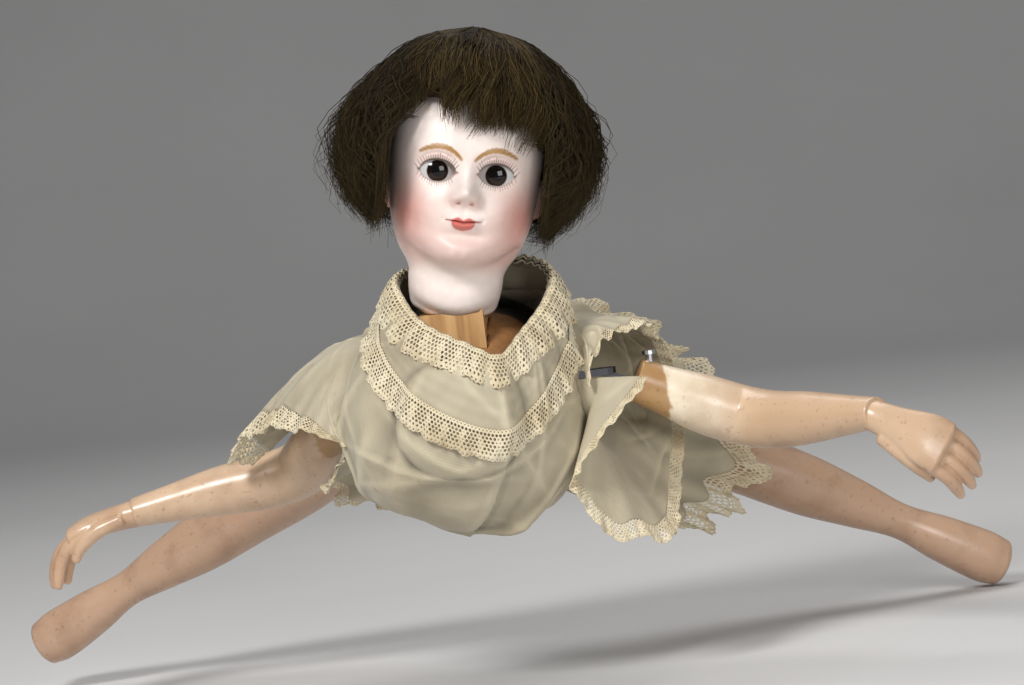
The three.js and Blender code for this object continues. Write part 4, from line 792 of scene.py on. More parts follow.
def relief(x, z):
    """How far the face stands out of its plain form: nose, brows, cheeks, lips and chin as smooth hills."""
    m = np.abs(x)
    top, line, foot = lip_shape(x)
    face = 6.6 * bell(x, z, 0, 52.4, 4.6, 4.4) + 3.0 * bell(x, z, 0, 59, 4.6, 7)
    face += 2.2 * bell(m, z, 4.6, 50, 2.5, 2.6)
    face += -3.2 * bell(m, z, EYE_X, EYE_UP, 8, 6) + 1.8 * bell(m, z, 17, 44, 10, 10)
    face += 2.2 * bell(x, z, 0, 40.5, 7, 4) + 2.4 * bell(x, z, 0, 28, 8, 5) - 1.6 * bell(x, z, 0, 35, 8, 2.6)
    face += 0.9 * bell(m, z, 12, 70, 9, 3) - 1.5 * bell(m, z, 2.7, 48.4, 1.1, 0.8)
    face += -0.5 * bell(x, z, 0, 45.5, 1.1, 2.2)
    face += -0.6 * bell(m, z, 6.2, 48.0, 0.9, 2.0) - 0.35 * bell(x, z, 0, 27, 1.6, 2.6)
    within = ease(MOUTH_HALF + 1.2, MOUTH_HALF - 2.2, m)
    upper = np.clip((z - line) / np.maximum(top - line, 0.3), 0, 1)
    lower = np.clip((line - z) / np.maximum(line - foot, 0.3), 0, 1)
    face += within * (1.1 * np.sin(np.pi * upper) ** 0.8 + 1.5 * np.sin(np.pi * lower) ** 0.8)
    face += -0.8 * within * np.exp(-((z - line) / 0.35) ** 2)
    face += -0.5 * bell(m, z, MOUTH_HALF + 0.4, MOUTH_UP + 0.6, 1, 1)
    return face


def face_depth(x, z, plain, front):
    """Depth of the face in front of the head's axis: the plain form and its relief, with lids that follow the
    eyeball a little proud of it, a crease above them, and the openings sunk behind the eyeball."""
    depth = plain + relief(x, z) * front
    away = np.hypot(np.abs(x) - EYE_X, z - EYE_UP)
    ball = EYE_IN + np.sqrt(np.maximum(EYE_R ** 2 - away ** 2, 0))
    opening = eye_opening(x, z)
    near = np.exp(-(np.minimum(opening, 0) / 2.6) ** 2) * (away < EYE_R - 0.2) * front
    lid = ball + 0.95
    depth = depth + near * (np.maximum(lid, depth) - depth)
    corner = ease(1.05, 0.7, np.abs(np.abs(x) - EYE_X) / LID["half"])
    crease = np.exp(-((opening + 2.9) / 0.7) ** 2) * ease(EYE_UP + 1, EYE_UP + 3, z) * corner
    depth = depth - 0.55 * crease
    sunk = ease(-0.05, 0.45, opening) * (away < EYE_R - 0.2) * front
    return depth + sunk * (ball - 2.2 - depth)


def stroke(x, z, start, end, wide):
    """How much of a painted stroke covers a spot: 1 on the line from start to end, fading over its width."""
    start, end = np.asarray(start, float), np.asarray(end, float)
    way = end - start
    t = np.clip(((x - start[0]) * way[0] + (z - start[1]) * way[1]) / (way @ way), 0, 1)
    away = np.hypot(x - start[0] - t * way[0], z - start[1] - t * way[1])
    return np.exp(-(away / (wide * (1 - 0.6 * t))) ** 2)


def face_paint(x, z, front):
    """China paint on the bisque: blushed cheeks, lids and chin, red lips with a darker line, brows and lashes
    in single strokes, and red dots at the nostrils and the inner corners of the eyes."""
    m = np.abs(x)
    colour = np.tile(BISQUE_WHITE, (*x.shape, 1))

    def lay(shade, share):
        nonlocal colour
        share = np.clip(share * front, 0, 1)[..., None]
        colour = colour * (1 - share) + np.array(shade) * share

    lay((0.64, 0.26, 0.205), 0.9 * bell(m, z, 26, 42, 12, 15))
    lay((0.72, 0.36, 0.30), 0.38 * ease(46, 27, z) * ease(17, 25, z) + 0.30 * bell(m, z, EYE_X, 67, 9, 4))
    lay((0.70, 0.40, 0.34), 0.4 * bell(m, z, 4.5, 49, 4, 3))
    top, line, foot = lip_shape(x)
    lips = ease(-0.25, 0.3, np.minimum(top - z, z - foot)) * ease(0.3, -0.3, m - MOUTH_HALF + 0.3)
    lay((0.60, 0.105, 0.075), 0.9 * lips)
    lay((0.30, 0.05, 0.04), 0.85 * np.exp(-((z - line) / 0.33) ** 2) * ease(0.2, -0.6, m - MOUTH_HALF + 0.2))
    lay((0.50, 0.15, 0.11), 0.85 * bell(m, z, 2.7, 48.2, 0.95, 0.65))
    lay((0.60, 0.18, 0.14), 0.7 * bell(m, z, EYE_X - LID["half"] + 0.2, EYE_UP - 0.4, 0.7, 0.7))
    opening = eye_opening(x, z)
    rim = np.exp(-((opening + 0.15) / 0.42) ** 2)
    lay((0.07, 0.04, 0.03), 0.92 * rim * ease(-1.0, 0.5, z - EYE_UP))
    lay((0.25, 0.13, 0.09), 0.5 * rim * ease(0.5, -1.0, z - EYE_UP))
    dice = np.random.default_rng(11)
    for p in np.linspace(-0.95, 1.05, 19):
        inside = max(1 - min(abs(p), 1) ** 2, 0)
        foot_spot = np.array([EYE_X + p * LID["half"], EYE_UP + LID["upper"] * inside ** 0.55 + 0.2])
        lean = np.array([0.85 * p, 1.0])
        tip = foot_spot + lean * dice.uniform(1.7, 2.6)
        lay((0.11, 0.075, 0.06), 0.85 * stroke(m, z, foot_spot, tip, 0.24))
    for p in np.linspace(-0.75, 1.0, 15):
        inside = max(1 - min(abs(p), 1) ** 2, 0)
        foot_spot = np.array([EYE_X + p * LID["half"], EYE_UP - LID["lower"] * inside ** 0.7 - 0.3])
        lean = np.array([0.7 * p, -1.0])
        tip = foot_spot + lean * dice.uniform(1.4, 2.1)
        lay((0.13, 0.09, 0.07), 0.75 * stroke(m, z, foot_spot, tip, 0.22))
    for p in np.linspace(0, 1, 54):
        out = BROW[0][0] + (BROW[-1][0] - BROW[0][0]) * p
        spine = np.array([out, between(BROW, out) + dice.uniform(-0.3, 0.3)])
        thick = 1.6 * math.sin(math.pi * min(0.25 + 0.75 * p, 1)) ** 0.55 + 0.15
        lean = np.array([1.3, 1.0 - 1.6 * p])
        root, tip = spine - [0, thick * 0.75], spine + lean * thick * 0.75
        lay((0.37, 0.20, 0.05), 0.72 * stroke(m, z, root, tip, 0.55))
    return colour


def head_grid(turn, z):
    """Points of the head at turns from straight ahead and heights: half width times sine, depth times cosine,
    with the face's relief in front."""
    turn, z = np.broadcast_arrays(turn, z)
    s, c = np.sin(turn), np.cos(turn)
    x = between(HEAD_WIDE, z) * s
    fade = 1 - ease(JAW["low"], JAW["high"], z)
    chin = np.maximum(0, z - JAW["rise"] * (x / JAW["half"]) ** 2 * fade)
    plain = between(HEAD_FRONT, chin) * np.maximum(c, 0) ** 0.85
    front = np.minimum(1, 2 * np.maximum(c, 0))
    ahead = face_depth(x, z, plain, front)
    y = np.where(c > 0, -ahead, -between(HEAD_BACK, z) * c)
    return np.stack([x, y, z], -1), front


def bisque_head():
    """Head skin on a grid of turns and heights, finest at the face, closed at the neck and the crown."""
    t = np.linspace(-1, 1, 231)
    ahead = np.pi / 2 * t * (0.6 + 0.4 * t * t)
    behind = np.pi / 2 + np.pi * np.arange(1, 40) / 40
    turn = np.concatenate([ahead, behind])
    bands = ((0, 22, 26), (22, 34, 28), (34, 46, 48), (46, 55.5, 34), (55.5, 75, 82), (75, CROWN_CUT, 26))
    z = np.concatenate([np.linspace(*band)[:-1] for band in bands] + [[CROWN_CUT]])
    points, front = head_grid(turn[None], z[:, None])
    paint = face_paint(points[..., 0], points[..., 2], front)
    skin, faces = closed_rings(points)
    paint = np.concatenate([paint.reshape(-1, 3), np.tile(BISQUE_WHITE, (2, 1))])
    piece = make_piece("bisque_face", on_neck(skin), faces, BISQUE, paint=paint)
    return finish_piece(piece, "head", "bisque", "bisque_head")


def ears():
    """Both ears: an ellipsoid with a raised rim round a hollow, standing out of the side of the head."""
    around = np.linspace(0, 2 * np.pi, 48, endpoint=False)
    around, over = np.meshgrid(around, np.linspace(0.02, np.pi - 0.02, 36))
    for name, side in SIDES.items():
        a, b = np.sin(over) * np.cos(around), np.sin(over) * np.sin(around)
        c = np.cos(over)
        rim = np.hypot(b / 0.9, c)
        dish = 1 + 0.55 * np.exp(-((rim - 0.82) / 0.16) ** 2) - 0.55 * np.exp(-(rim / 0.55) ** 2)
        x = np.where(a > 0, 3.4 * a * dish, 3.4 * a)
        y, z = 4.8 * b * (1 - 0.25 * np.maximum(-c, 0)), 8.6 * c
        shape = np.stack([side * (31.6 + x + 0.12 * z), 3 + y, 52 + z], -1)
        points, faces = closed_rings(shape)
        warm = ease(-9, 5, points[:, 2] - 52)[:, None]
        paint = np.array([0.72, 0.40, 0.33]) * (1 - warm) + np.array([0.76, 0.52, 0.45]) * warm
        piece = make_piece(f"{name}_ear", on_neck(points), faces, BISQUE, paint=paint)
        finish_piece(piece, "head", "bisque")


def glass_eyes():
    """Both eyes: a ball about the gaze with a dark pupil, a brown iris painted lighter below as painted
    light, a dark rim and the white."""
    away = np.concatenate([np.linspace(0.01, 0.62, 60), np.linspace(0.64, np.pi - 0.01, 30)])
    around = np.linspace(0, 2 * np.pi, 72, endpoint=False)
    away, around = np.meshgrid(away, around, indexing="ij")
    for name, side in SIDES.items():
        bulge = EYE_R * (1 + 0.012 * np.exp(-(away / 0.4) ** 2))
        local = np.stack([np.sin(away) * np.cos(around), -np.cos(away), np.sin(away) * np.sin(around)], -1)
        shape = local * bulge[..., None] + [side * EYE_X, -EYE_IN, EYE_UP]
        points, faces = closed_rings(shape)
        r = np.concatenate([EYE_R * np.sin(np.minimum(away, np.pi / 2)).ravel(), [0, EYE_R]])
        spin = np.concatenate([around.ravel(), [0, 0]])
        white, iris = np.array([0.58, 0.57, 0.56]), np.array([0.016, 0.0075, 0.0045])
        pupil = np.array([0.003, 0.002, 0.002])
        rays = 1 + 0.35 * np.sin(spin * 31) * np.sin(spin * 17 + 1)
        # Painted light on the lower iris, where light through the glass falls
        lower_iris_painted_light = (0.4 + 1.1 * ease(0.2, -1, np.sin(spin)))[:, None]
        ring = iris * rays[:, None] * lower_iris_painted_light
        edge = ease(IRIS_R, IRIS_R + 0.4, r)[:, None]
        paint = ring * (1 - edge) + white * edge
        paint = np.where((r < 2.5)[:, None], pupil, paint)
        paint = paint * (1 - 0.75 * np.exp(-((r - IRIS_R - 0.1) / 0.35) ** 2))[:, None]
        piece = make_piece(f"{name}_eye_blown", on_neck(points), faces, EYE_GLASS, paint=paint)
        finish_piece(piece, "head", "eye_glass", f"{name}_glass_eye")


bisque_head()
ears()
glass_eyes()


# Wig
WIG_LOW, WIG_TOP = 33, CROWN + 11
# Half width and half depth of the wig by share of its height
WIG_WIDE = [(0, 36), (0.14, 47), (0.4, 54), (0.6, 50.5), (0.7, 44.5), (0.84, 34), (0.95, 20), (1, 0.6)]
WIG_DEEP = [(0, 30), (0.14, 44), (0.4, 52), (0.66, 50), (0.84, 38), (0.95, 22), (1, 0.6)]
FACE_EDGE = 31.5
# Line at the left to which the hair is swept aside: where it starts, and its rise for each millimetre across.
# The fringe's notch begins a little before it.
SWEPT_X, SWEPT_Z, SWEPT_RISE, NOTCH_X = -15, 96.5, 1.2, -12
SIDE_BROWN, FRINGE_BROWN = (0.056, 0.038, 0.0115), (0.090, 0.059, 0.018)
# Lengths from the crown down the wig's side, for shares of its height
ARC_SHARE = np.linspace(1, 0, 400)
ARC_LONG = np.concatenate([[0], np.cumsum(np.hypot(np.diff(between(WIG_WIDE, ARC_SHARE)),
                                                  np.diff(ARC_SHARE) * (WIG_TOP - WIG_LOW)))])


def wig_point(turn, share, layer):
    """Point of the wig's form at a turn from straight ahead and a share of its height, drawn to a layer."""
    z = WIG_LOW + (WIG_TOP - WIG_LOW) * share
    lock = 1 + 0.05 * np.sin(7 * turn + 4 * share) + 0.035 * np.sin(13 * turn + 9 * share)
    x = between(WIG_WIDE, share) * lock * layer * np.sin(turn)
    y = 2 - between(WIG_DEEP, share) * lock * layer * np.cos(turn)
    return np.stack(np.broadcast_arrays(x, y, z - (1 - layer) * 14 * share), -1)


def strand_skin(paths, thick):
    """Three-sided hair about each path (strand, step, xyz), thinning to a point at its tip."""
    strands, steps, _ = paths.shape
    ahead = unit(np.gradient(paths, axis=1))
    across = unit(np.cross(ahead, unit(np.array([0.31, 0.83, 0.47]))))
    high = np.cross(ahead, across)
    turn = np.arange(3) * 2 * np.pi / 3
    taper = thick[:, None] * (1 - 0.75 * np.linspace(0, 1, steps) ** 2)
    ring = (across[:, :, None] * np.cos(turn)[:, None] + high[:, :, None] * np.sin(turn)[:, None])
    points = paths[:, :, None] + ring * taper[:, :, None, None]
    one = grid_faces(steps, 3, True)
    first = (np.arange(strands) * steps * 3)[:, None, None]
    walls = (one[None] + first).reshape(-1, 4)
    caps = np.concatenate([(np.array([[0, 2, 1]]) + first[:, 0]),
                           (np.array([[0, 1, 2]]) + (steps - 1) * 3 + first[:, 0])])
    return points.reshape(-1, 3), [walls[:, ::-1], caps[:, ::-1]]


def hair(count, seed, turns, roots, tips, layers, flare):
    """Hair in clumps: each strand runs down the wig's form from an arc near the crown to its tip, waves with
    its clump, draws together towards the clump's end and keeps to the sides of the face. At the left it stays
    behind the line to which the fringe is swept aside. Some strands stray outwards."""
    dice = np.random.default_rng(seed)
    steps = 14
    t = np.linspace(0, 1, steps)[None]
    clumps = count // 20
    clump = dice.integers(0, clumps, count)
    clump_turn = dice.uniform(*turns, clumps)
    turn = clump_turn[clump] + dice.normal(0, 0.10, count)
    gather = clump_turn[clump][:, None] - turn[:, None]
    root = dice.uniform(*roots, count)
    tip = (tips[0] + (tips[1] - tips[0]) * dice.uniform(0, 1, clumps))[clump] + dice.normal(0, 4.0, count)
    arc = root[:, None] + (tip - root)[:, None] * t
    share = np.interp(np.clip(arc, 0, ARC_LONG[-1]), ARC_LONG, ARC_SHARE)
    over = np.maximum(arc - ARC_LONG[-1], 0)
    phase = dice.uniform(0, 2 * np.pi, clumps)[clump][:, None] + dice.normal(0, 0.6, count)[:, None]
    curl = dice.uniform(0.07, 0.22, clumps)[clump][:, None]
    wave = curl * t ** 0.6 * np.sin(2 * np.pi * t * 2.1 + phase)
    drift = dice.normal(0, 0.22, clumps)[clump][:, None] * t + dice.normal(0, 0.08, count)[:, None] * t
    angle = turn[:, None] + 0.45 * gather * t ** 1.5 + wave + drift
    angle = angle + 0.02 * creases(turn[:, None] * 2, t * 2, seed)
    layer = dice.uniform(*layers, count)[:, None] + flare * dice.normal(0, 1, clumps)[clump][:, None] * t ** 2
    stray = (dice.uniform(0, 1, count) < 0.3)[:, None] * dice.uniform(0.0, 0.16, count)[:, None] * t
    path = wig_point(angle, share, layer + stray + 0.04 * np.sin(2 * np.pi * t * 2.3 + 2 * phase))
    path[..., 2] -= over
    low = ease(84, 74, path[..., 2]) * (path[..., 1] < 10)
    edge = FACE_EDGE + 4.5 * ease(-8, 2, path[..., 1]) + 4.5 * dice.uniform(0, 1, count)[:, None]
    keep = np.sign(turn)[:, None] * np.maximum(np.abs(path[..., 0]), edge)
    path[..., 0] += low * (keep - path[..., 0])
    aside = (turn < 0)[:, None] & (path[..., 1] < 0) & (path[..., 2] < SWEPT_Z)
    swept_line = np.maximum((path[..., 2] - SWEPT_Z) / SWEPT_RISE + SWEPT_X, -FACE_EDGE - 2)
    swept_line = swept_line - 4 * dice.uniform(-0.4, 1, count)[:, None]
    path[..., 0] = np.where(aside, np.minimum(path[..., 0], swept_line), path[..., 0])
    return path, dice


def fringe_end(x):
    """Height at which the fringe ends: a slanting line, notched at the left where the hair sweeps aside."""
    plain = 85.5 - 0.22 * x
    swept_side = SWEPT_Z + SWEPT_RISE * (x - SWEPT_X)
    notch = np.where(x < SWEPT_X, swept_side, 88.5 + 8 * ease(NOTCH_X, SWEPT_X, x))
    return np.where(x < NOTCH_X, notch, plain)


def fringe(count, seed):
    """Short choppy fringe: strands from above the forehead, lying close to it and ending at uneven heights by
    clumps. At the left they run along the line to which the hair is swept aside."""
    dice = np.random.default_rng(seed)
    steps = 12
    t = np.linspace(0, 1, steps)[None]
    clumps = 52
    clump = dice.integers(0, clumps, count)
    clump_turn = np.sort(dice.uniform(-1.02, 1.02, clumps))
    turn = clump_turn[clump] + dice.normal(0, 0.06, count)
    end = (fringe_end(38 * np.sin(clump_turn)) + dice.normal(0, 2.4, clumps))[clump]
    end = end + dice.normal(0, 1.4, count)
    root = dice.uniform(2, 26, count)
    start_share = np.interp(root, ARC_LONG, ARC_SHARE)[:, None]
    end_share = ((end - WIG_LOW) / (WIG_TOP - WIG_LOW))[:, None]
    share = start_share + (end_share - start_share) * t ** 1.25
    layer = dice.uniform(0.92, 1.03, count)[:, None] * (1 - 0.2 * t ** 1.6)
    sway = dice.normal(0, 0.2, clumps)[clump][:, None] + dice.normal(0, 0.07, count)[:, None]
    sway = sway - 0.16 * ease(-0.3, -0.5, turn)[:, None]
    angle = turn[:, None] * (1 - 0.10 * t) + 0.35 * (clump_turn[clump] - turn)[:, None] * t + sway * t
    phase = dice.uniform(0, 2 * np.pi, clumps)[clump][:, None] + dice.normal(0, 0.5, count)[:, None]
    angle = angle + 0.09 * t ** 0.6 * (1 - 0.6 * t) * np.sin(2 * np.pi * t * 1.7 + phase)
    layer = layer + 0.03 * t * np.sin(2 * np.pi * t * 1.9 + 2 * phase)
    path = wig_point(angle, share, layer)
    stray = dice.uniform(-1, 1, count)[:, None]
    swept_line = fringe_end(path[..., 0]) + 1.5 + 2.5 * stray
    aside = path[..., 0] < NOTCH_X + 2.5 * stray
    path[..., 2] = np.where(aside, np.maximum(path[..., 2], swept_line), path[..., 2])
    return path, dice


def hair_piece(name, bunch, brown, *nodes):
    """One bunch of strands with its own shades, from dark roots to browner tips."""
    path, dice = bunch
    count, steps, _ = path.shape
    points, faces = strand_skin(path, dice.uniform(0.15, 0.27, count))
    dark = np.array([0.009, 0.0062, 0.0022])
    share = np.clip(dice.beta(1.6, 2.4, count)[:, None] + 0.22 * np.linspace(-0.5, 1, steps)[None], 0, 1)
    paint = dark + (np.array(brown) - dark) * np.repeat(share.reshape(-1, 1), 3, 0)
    piece = make_piece(name, on_neck(points), faces, MOHAIR, paint=paint)
    finish_piece(piece, "head", "hair", *nodes)


def wig_cap():
    """Dark cap under the hair: the wig's form drawn in, open at the face and hollow for the head."""
    share = np.linspace(0.1, 1, 60)[:, None]
    turn = np.linspace(np.radians(62), np.radians(298), 120)[None]
    side_cap = wig_point(turn, share, 0.84)
    share = np.linspace(0.67, 1, 40)[:, None]
    turn = np.linspace(np.radians(-64), np.radians(64), 80)[None]
    front_cap = wig_point(turn, share, 0.80)
    points, faces = [], []
    for sheet in (side_cap, front_cap):
        rows, columns, _ = sheet.shape
        faces.append(grid_faces(rows, columns, False) + sum(len(p) for p in points))
        points.append(sheet.reshape(-1, 3))
    points = np.concatenate(points)
    paint = np.tile([0.022, 0.012, 0.006], (len(points), 1))
    piece = make_piece("wig_cap", on_neck(points), faces, MOHAIR, paint=paint)
    thicken(piece, 1.5)
    finish_piece(piece, "head", "hair")


wig_cap()
back_hair = hair(2450, 21, (math.pi * 0.42, math.pi * 1.58), (0, 66), (98, 122), (0.84, 0.98), 0.03)
hair_piece("wig_back", back_hair, SIDE_BROWN, "wig")
for wig_part, hair_seed, hair_turns in (("wig_left", 22, (-2.3, -0.86)), ("wig_right", 23, (0.86, 2.3))):
    side_hair = hair(2500, hair_seed, hair_turns, (0, 60), (92, 120), (0.82, 0.97), 0.05)
    hair_piece(wig_part, side_hair, SIDE_BROWN)
hair_piece("wig_fringe", fringe(2400, 24), FRINGE_BROWN)


# Dress pieces
CHEST = np.array([0.0, -22.0, 42.0])
NECKLINE = [(17, -80, 74), (33, -67, 83), (42, -50, 98), (33, -30, 106), (8, -20, 107), (-14, -26, 107),
            (-21, -44, 105), (-19, -60, 99), (-8, -75, 85)]
BODICE_HEM = [(2, -44, -5), (38, -38, 3), (52, 4, 30), (42, 29.6, 74), (6, 29.8, 90), (-30, 29.8, 86),
              (-50, 20, 62), (-54, 2, 30), (-44, -38, 14)]
FRONT_ROUND = {"from": -74, "long": 15}
# Share of its radius by which an armhole is drawn out to the back, to clear the swinging arm
ARMHOLE_BACK = {"left": 0.0, "right": 0.75}


def bodice_grow(y):
    """How far the bodice stands off the body: fullest at the chest."""
    return BODICE_OFF + 1.5 * np.exp(-((y + 52) / 26) ** 2)


def bodice_reach(way):
    """Distance from the chest's middle to the bodice along each direction, found by halving: the bodice is
    the body's rounded-square section, grown, and drawn in to a dome at the front."""
    near, far = np.zeros(way.shape[:-1]), np.full(way.shape[:-1], 180.0)
    for _ in range(30):
        middle = (near + far) / 2
        x, y, z = np.moveaxis(CHEST + way * middle[..., None], -1, 0)
        half, rise, level = body_section(y, bodice_grow(y))
        past = np.maximum(FRONT_ROUND["from"] - y, 0) / FRONT_ROUND["long"]
        dome = np.sqrt(np.maximum(1 - past ** 2, 1e-6))
        size = (np.abs(x) / (half * dome)) ** BODY_SQUARENESS
        size = size + (np.abs(z - level) / (rise * dome)) ** BODY_SQUARENESS
        inside = size < 1
        near, far = np.where(inside, middle, near), np.where(inside, far, middle)
    return near


def bodice_folds(u, v):
    """Height of the bodice's creases: broad slanting ones, sharper wrinkles, gathers at the neck and hem, and
    the lapped front edge. The hem lies on the body."""
    slant = (u + 0.14 * v) % 1
    folds = 1.1 * creases(slant * 2.4, v * 0.6, 31, 6, 2.0, 7.0) + wrinkles(u, v, 32, 46, 3.0, 0.45)
    folds = ease(0.0, 0.25, v) * (folds + wrinkles(u, v, 33, 40, 3.0))
    folds = folds + 0.7 * ease(0.12, 0, v) * np.sin(2 * np.pi * 38 * u)
    folds = folds + 0.7 * np.sin(2 * np.pi * (17 * u + 0.8 * v)) * v
    lap = (u + 0.045 * v + 0.5) % 1 - 0.5 - 0.03
    lapped = 1.8 * ease(-0.05, -0.004, lap) * ease(0.0025, -0.001, lap) * ease(0.3, 0.42, v)
    return folds + lapped - 2.0 * ease(0.88, 1, v)


def bodice_point(u, v, lift=0.0, folded=1.0):
    """Point of the bodice: u runs round the neckline and v from the neckline to the hem. The direction from
    the chest turns from the neckline's to the hem's, and the collar's stand fades out away from the neck. The
    neckline dips to a V in front."""
    u, v = np.broadcast_arrays(u, v)
    u = u % 1
    v = v + 0.035 * np.exp(-(((u + 0.49) % 1 - 0.5) / 0.035) ** 2) * (1 - v)
    neck, hem = loop_through(NECKLINE, u), loop_through(BODICE_HEM, u)
    first, last = unit(neck - CHEST), unit(hem - CHEST)
    angle = np.arccos(np.clip((first * last).sum(-1), -1, 1))
    way = first * np.sin((1 - v) * angle)[..., None] + last * np.sin(v * angle)[..., None]
    way = way / np.sin(angle)[..., None]
    stand = np.linalg.norm(neck - CHEST, axis=-1) - bodice_reach(first)
    far = bodice_reach(way) + folded * bodice_folds(u, v) + lift + stand * np.exp(-(v * angle / 0.25) ** 2)
    return CHEST + way * far[..., None]


def painted_fold_light_and_shade(points, ring):
    """Painted light and shade of the cloth by its folds: painted light where a spot stands out of the mean of
    its neighbours a few steps away, painted shade where it lies in a hollow."""
    step = 4
    sides = np.pad(points, ((0, 0), (step, step), (0, 0)), "wrap" if ring else "edge")
    ends = np.pad(points, ((step, step), (0, 0), (0, 0)), "edge")
    around = (sides[:, 2 * step:] + sides[:, :-2 * step]) / 2
    along = (ends[2 * step:] + ends[:-2 * step]) / 2
    normal = unit(np.cross(np.gradient(points, axis=1), np.gradient(points, axis=0)))
    normal = normal * np.sign(((points - points.mean((0, 1))) * normal).sum(-1).mean())
    dip = (((around + along) / 2 - points) * normal).sum(-1)
    dip = dip - np.median(dip)
    return np.repeat(np.clip(1 - 0.44 * dip, 0.45, 1.22).reshape(-1, 1), 3, 1)


def cloth_piece(name, points, ring=False, drop=None):
    """Sheet from a grid of points, with its cut laid out along the rows and columns in metres. Faces that
    touch a point marked in `drop` are left out."""
    # Painted light on the crests of the folds and painted shade in their hollows, written as the point
    # colours
    shade = painted_fold_light_and_shade(points, ring)
    rows, columns, _ = points.shape
    across = np.concatenate([[0], np.cumsum(np.linalg.norm(np.diff(points[rows // 2], axis=0), axis=1))])
    down = np.concatenate([[0], np.cumsum(np.linalg.norm(np.diff(points[:, columns // 2], axis=0), axis=1))])
    uv = np.stack(np.meshgrid(across * MM, down * MM), -1).reshape(-1, 2)
    points, faces = points.reshape(-1, 3), grid_faces(rows, columns, ring)
    if drop is not None:
        used, order = np.unique(faces[~drop.ravel()[faces].any(1)], return_inverse=True)
        points, uv, shade, faces = points[used], uv[used], shade[used], order.reshape(-1, 4)
    piece = make_piece(name, points, [faces], SATEEN, uv=uv, paint=shade)
    thicken(piece, 0.7)
    return piece


def cut_size(points):
    """Width and length of the flat cut in metres: the mean lengths of a grid's rows and columns."""
    across = np.linalg.norm(np.diff(points, axis=1), axis=-1).sum(1).mean()
    down = np.linalg.norm(np.diff(points, axis=0), axis=-1).sum(0).mean()
    return across * MM, down * MM


def lace_band(name, place, wide, scallop=8.0):
    """Net lace: six-sided meshes in staggered rows, closer near both borders, with sprigs and a scalloped
    foot. `place` gives the point at a share along the band and a share down it, and the band ripples about
    that surface."""
    shares = np.linspace(0, 1, 500)
    line = place(shares, np.full_like(shares, 0.5))
    along = np.concatenate([[0], np.cumsum(np.linalg.norm(np.diff(line, axis=0), axis=1))])
    columns = int(along[-1] / LACE_CELL)
    rows = max(4, int(wide / (LACE_CELL * 0.87)))
    i, j = np.meshgrid(np.arange(columns), np.arange(rows))
    middle = np.stack([2 * i + j % 2 + 1, 3 * j + 2], -1).reshape(-1, 2)
    hexagon = np.array([(0, 2), (-1, 1), (-1, -1), (0, -2), (1, -1), (1, 1)])
    corners, order = np.unique((middle[:, None] + hexagon).reshape(-1, 2), axis=0, return_inverse=True)
    order = order.reshape(-1, 6)
    share_down = (middle[:, 1] - 2) / (3.0 * max(rows - 1, 1))
    sprig = np.sin(middle[:, 0] * LACE_CELL / 2 * 2 * np.pi / scallop) * np.sin(np.pi * share_down)
    open_share = 0.66 - 0.34 * ease(0.72, 0.95, share_down) - 0.36 * ease(0.14, 0.0, share_down)
    open_share = np.where(sprig > 0.55, 0.30, open_share)
    inner = middle[:, None] + hexagon * open_share[:, None, None]
    flat = np.concatenate([corners, inner.reshape(-1, 2)]).astype(float)
    inner_order = len(corners) + np.arange(len(middle) * 6).reshape(-1, 6)
    nxt = np.roll(np.arange(6), -1)
    faces = np.stack([order, order[:, nxt], inner_order[:, nxt], inner_order], -1).reshape(-1, 4)
    s = np.clip(flat[:, 0] * LACE_CELL / 2, 0, along[-1])
    share = np.interp(s, along, shares)
    down = flat[:, 1] / (3.0 * rows + 1)
    down = down * (1 + 0.10 * np.abs(np.sin(np.pi * s / scallop)) * ease(0.7, 1, down))
    tiny = 0.002
    side = place(np.minimum(share + tiny, 1), down) - place(np.maximum(share - tiny, 0), down)
    normal = unit(np.cross(side, place(share, down + tiny) - place(share, down - tiny)))
    ruffle = down ** 1.2 * (0.9 * np.sin(2 * np.pi * s / 13) + 0.6 * np.sin(2 * np.pi * s / 5.7 + 1))
    piece = make_piece(name, place(share, down) + normal * ruffle[:, None], [faces], LACE)
    thicken(piece, 0.35)
    return piece


def armholes(points):
    """Marks the points of the bodice inside an armhole on each side, round in front and drawn out towards the
    back by its share, and draws its rim to that line."""
    drop = np.zeros(points.shape[:2], bool)
    for name, side in SIDES.items():
        centre = np.array([SHOULDER[1] + SLEEVES[name]["set"], ARM_LEVER_Z])
        radius = SLEEVES[name]["narrow"] - 3
        offset = points[..., 1:] - centre
        stretch = np.where(offset[..., 0] > 0, 1 + ARMHOLE_BACK[name], 1)
        away = np.hypot(offset[..., 0] / stretch, offset[..., 1])
        here = side * points[..., 0] > 25
        rim = here & (np.abs(away - radius) < 0.8)
        points[rim, 1:] = centre + (points[rim, 1:] - centre) * (radius / away[rim])[:, None]
        drop |= here & (away < radius - 0.8)
    return drop


def cape_depth(u):
    """Share of the bodice's length that the cape collar covers: deep in front and narrow round the neck."""
    front = (u + 0.5) % 1 - 0.5
    return 0.06 + 0.24 * np.exp(-(front / 0.19) ** 2)


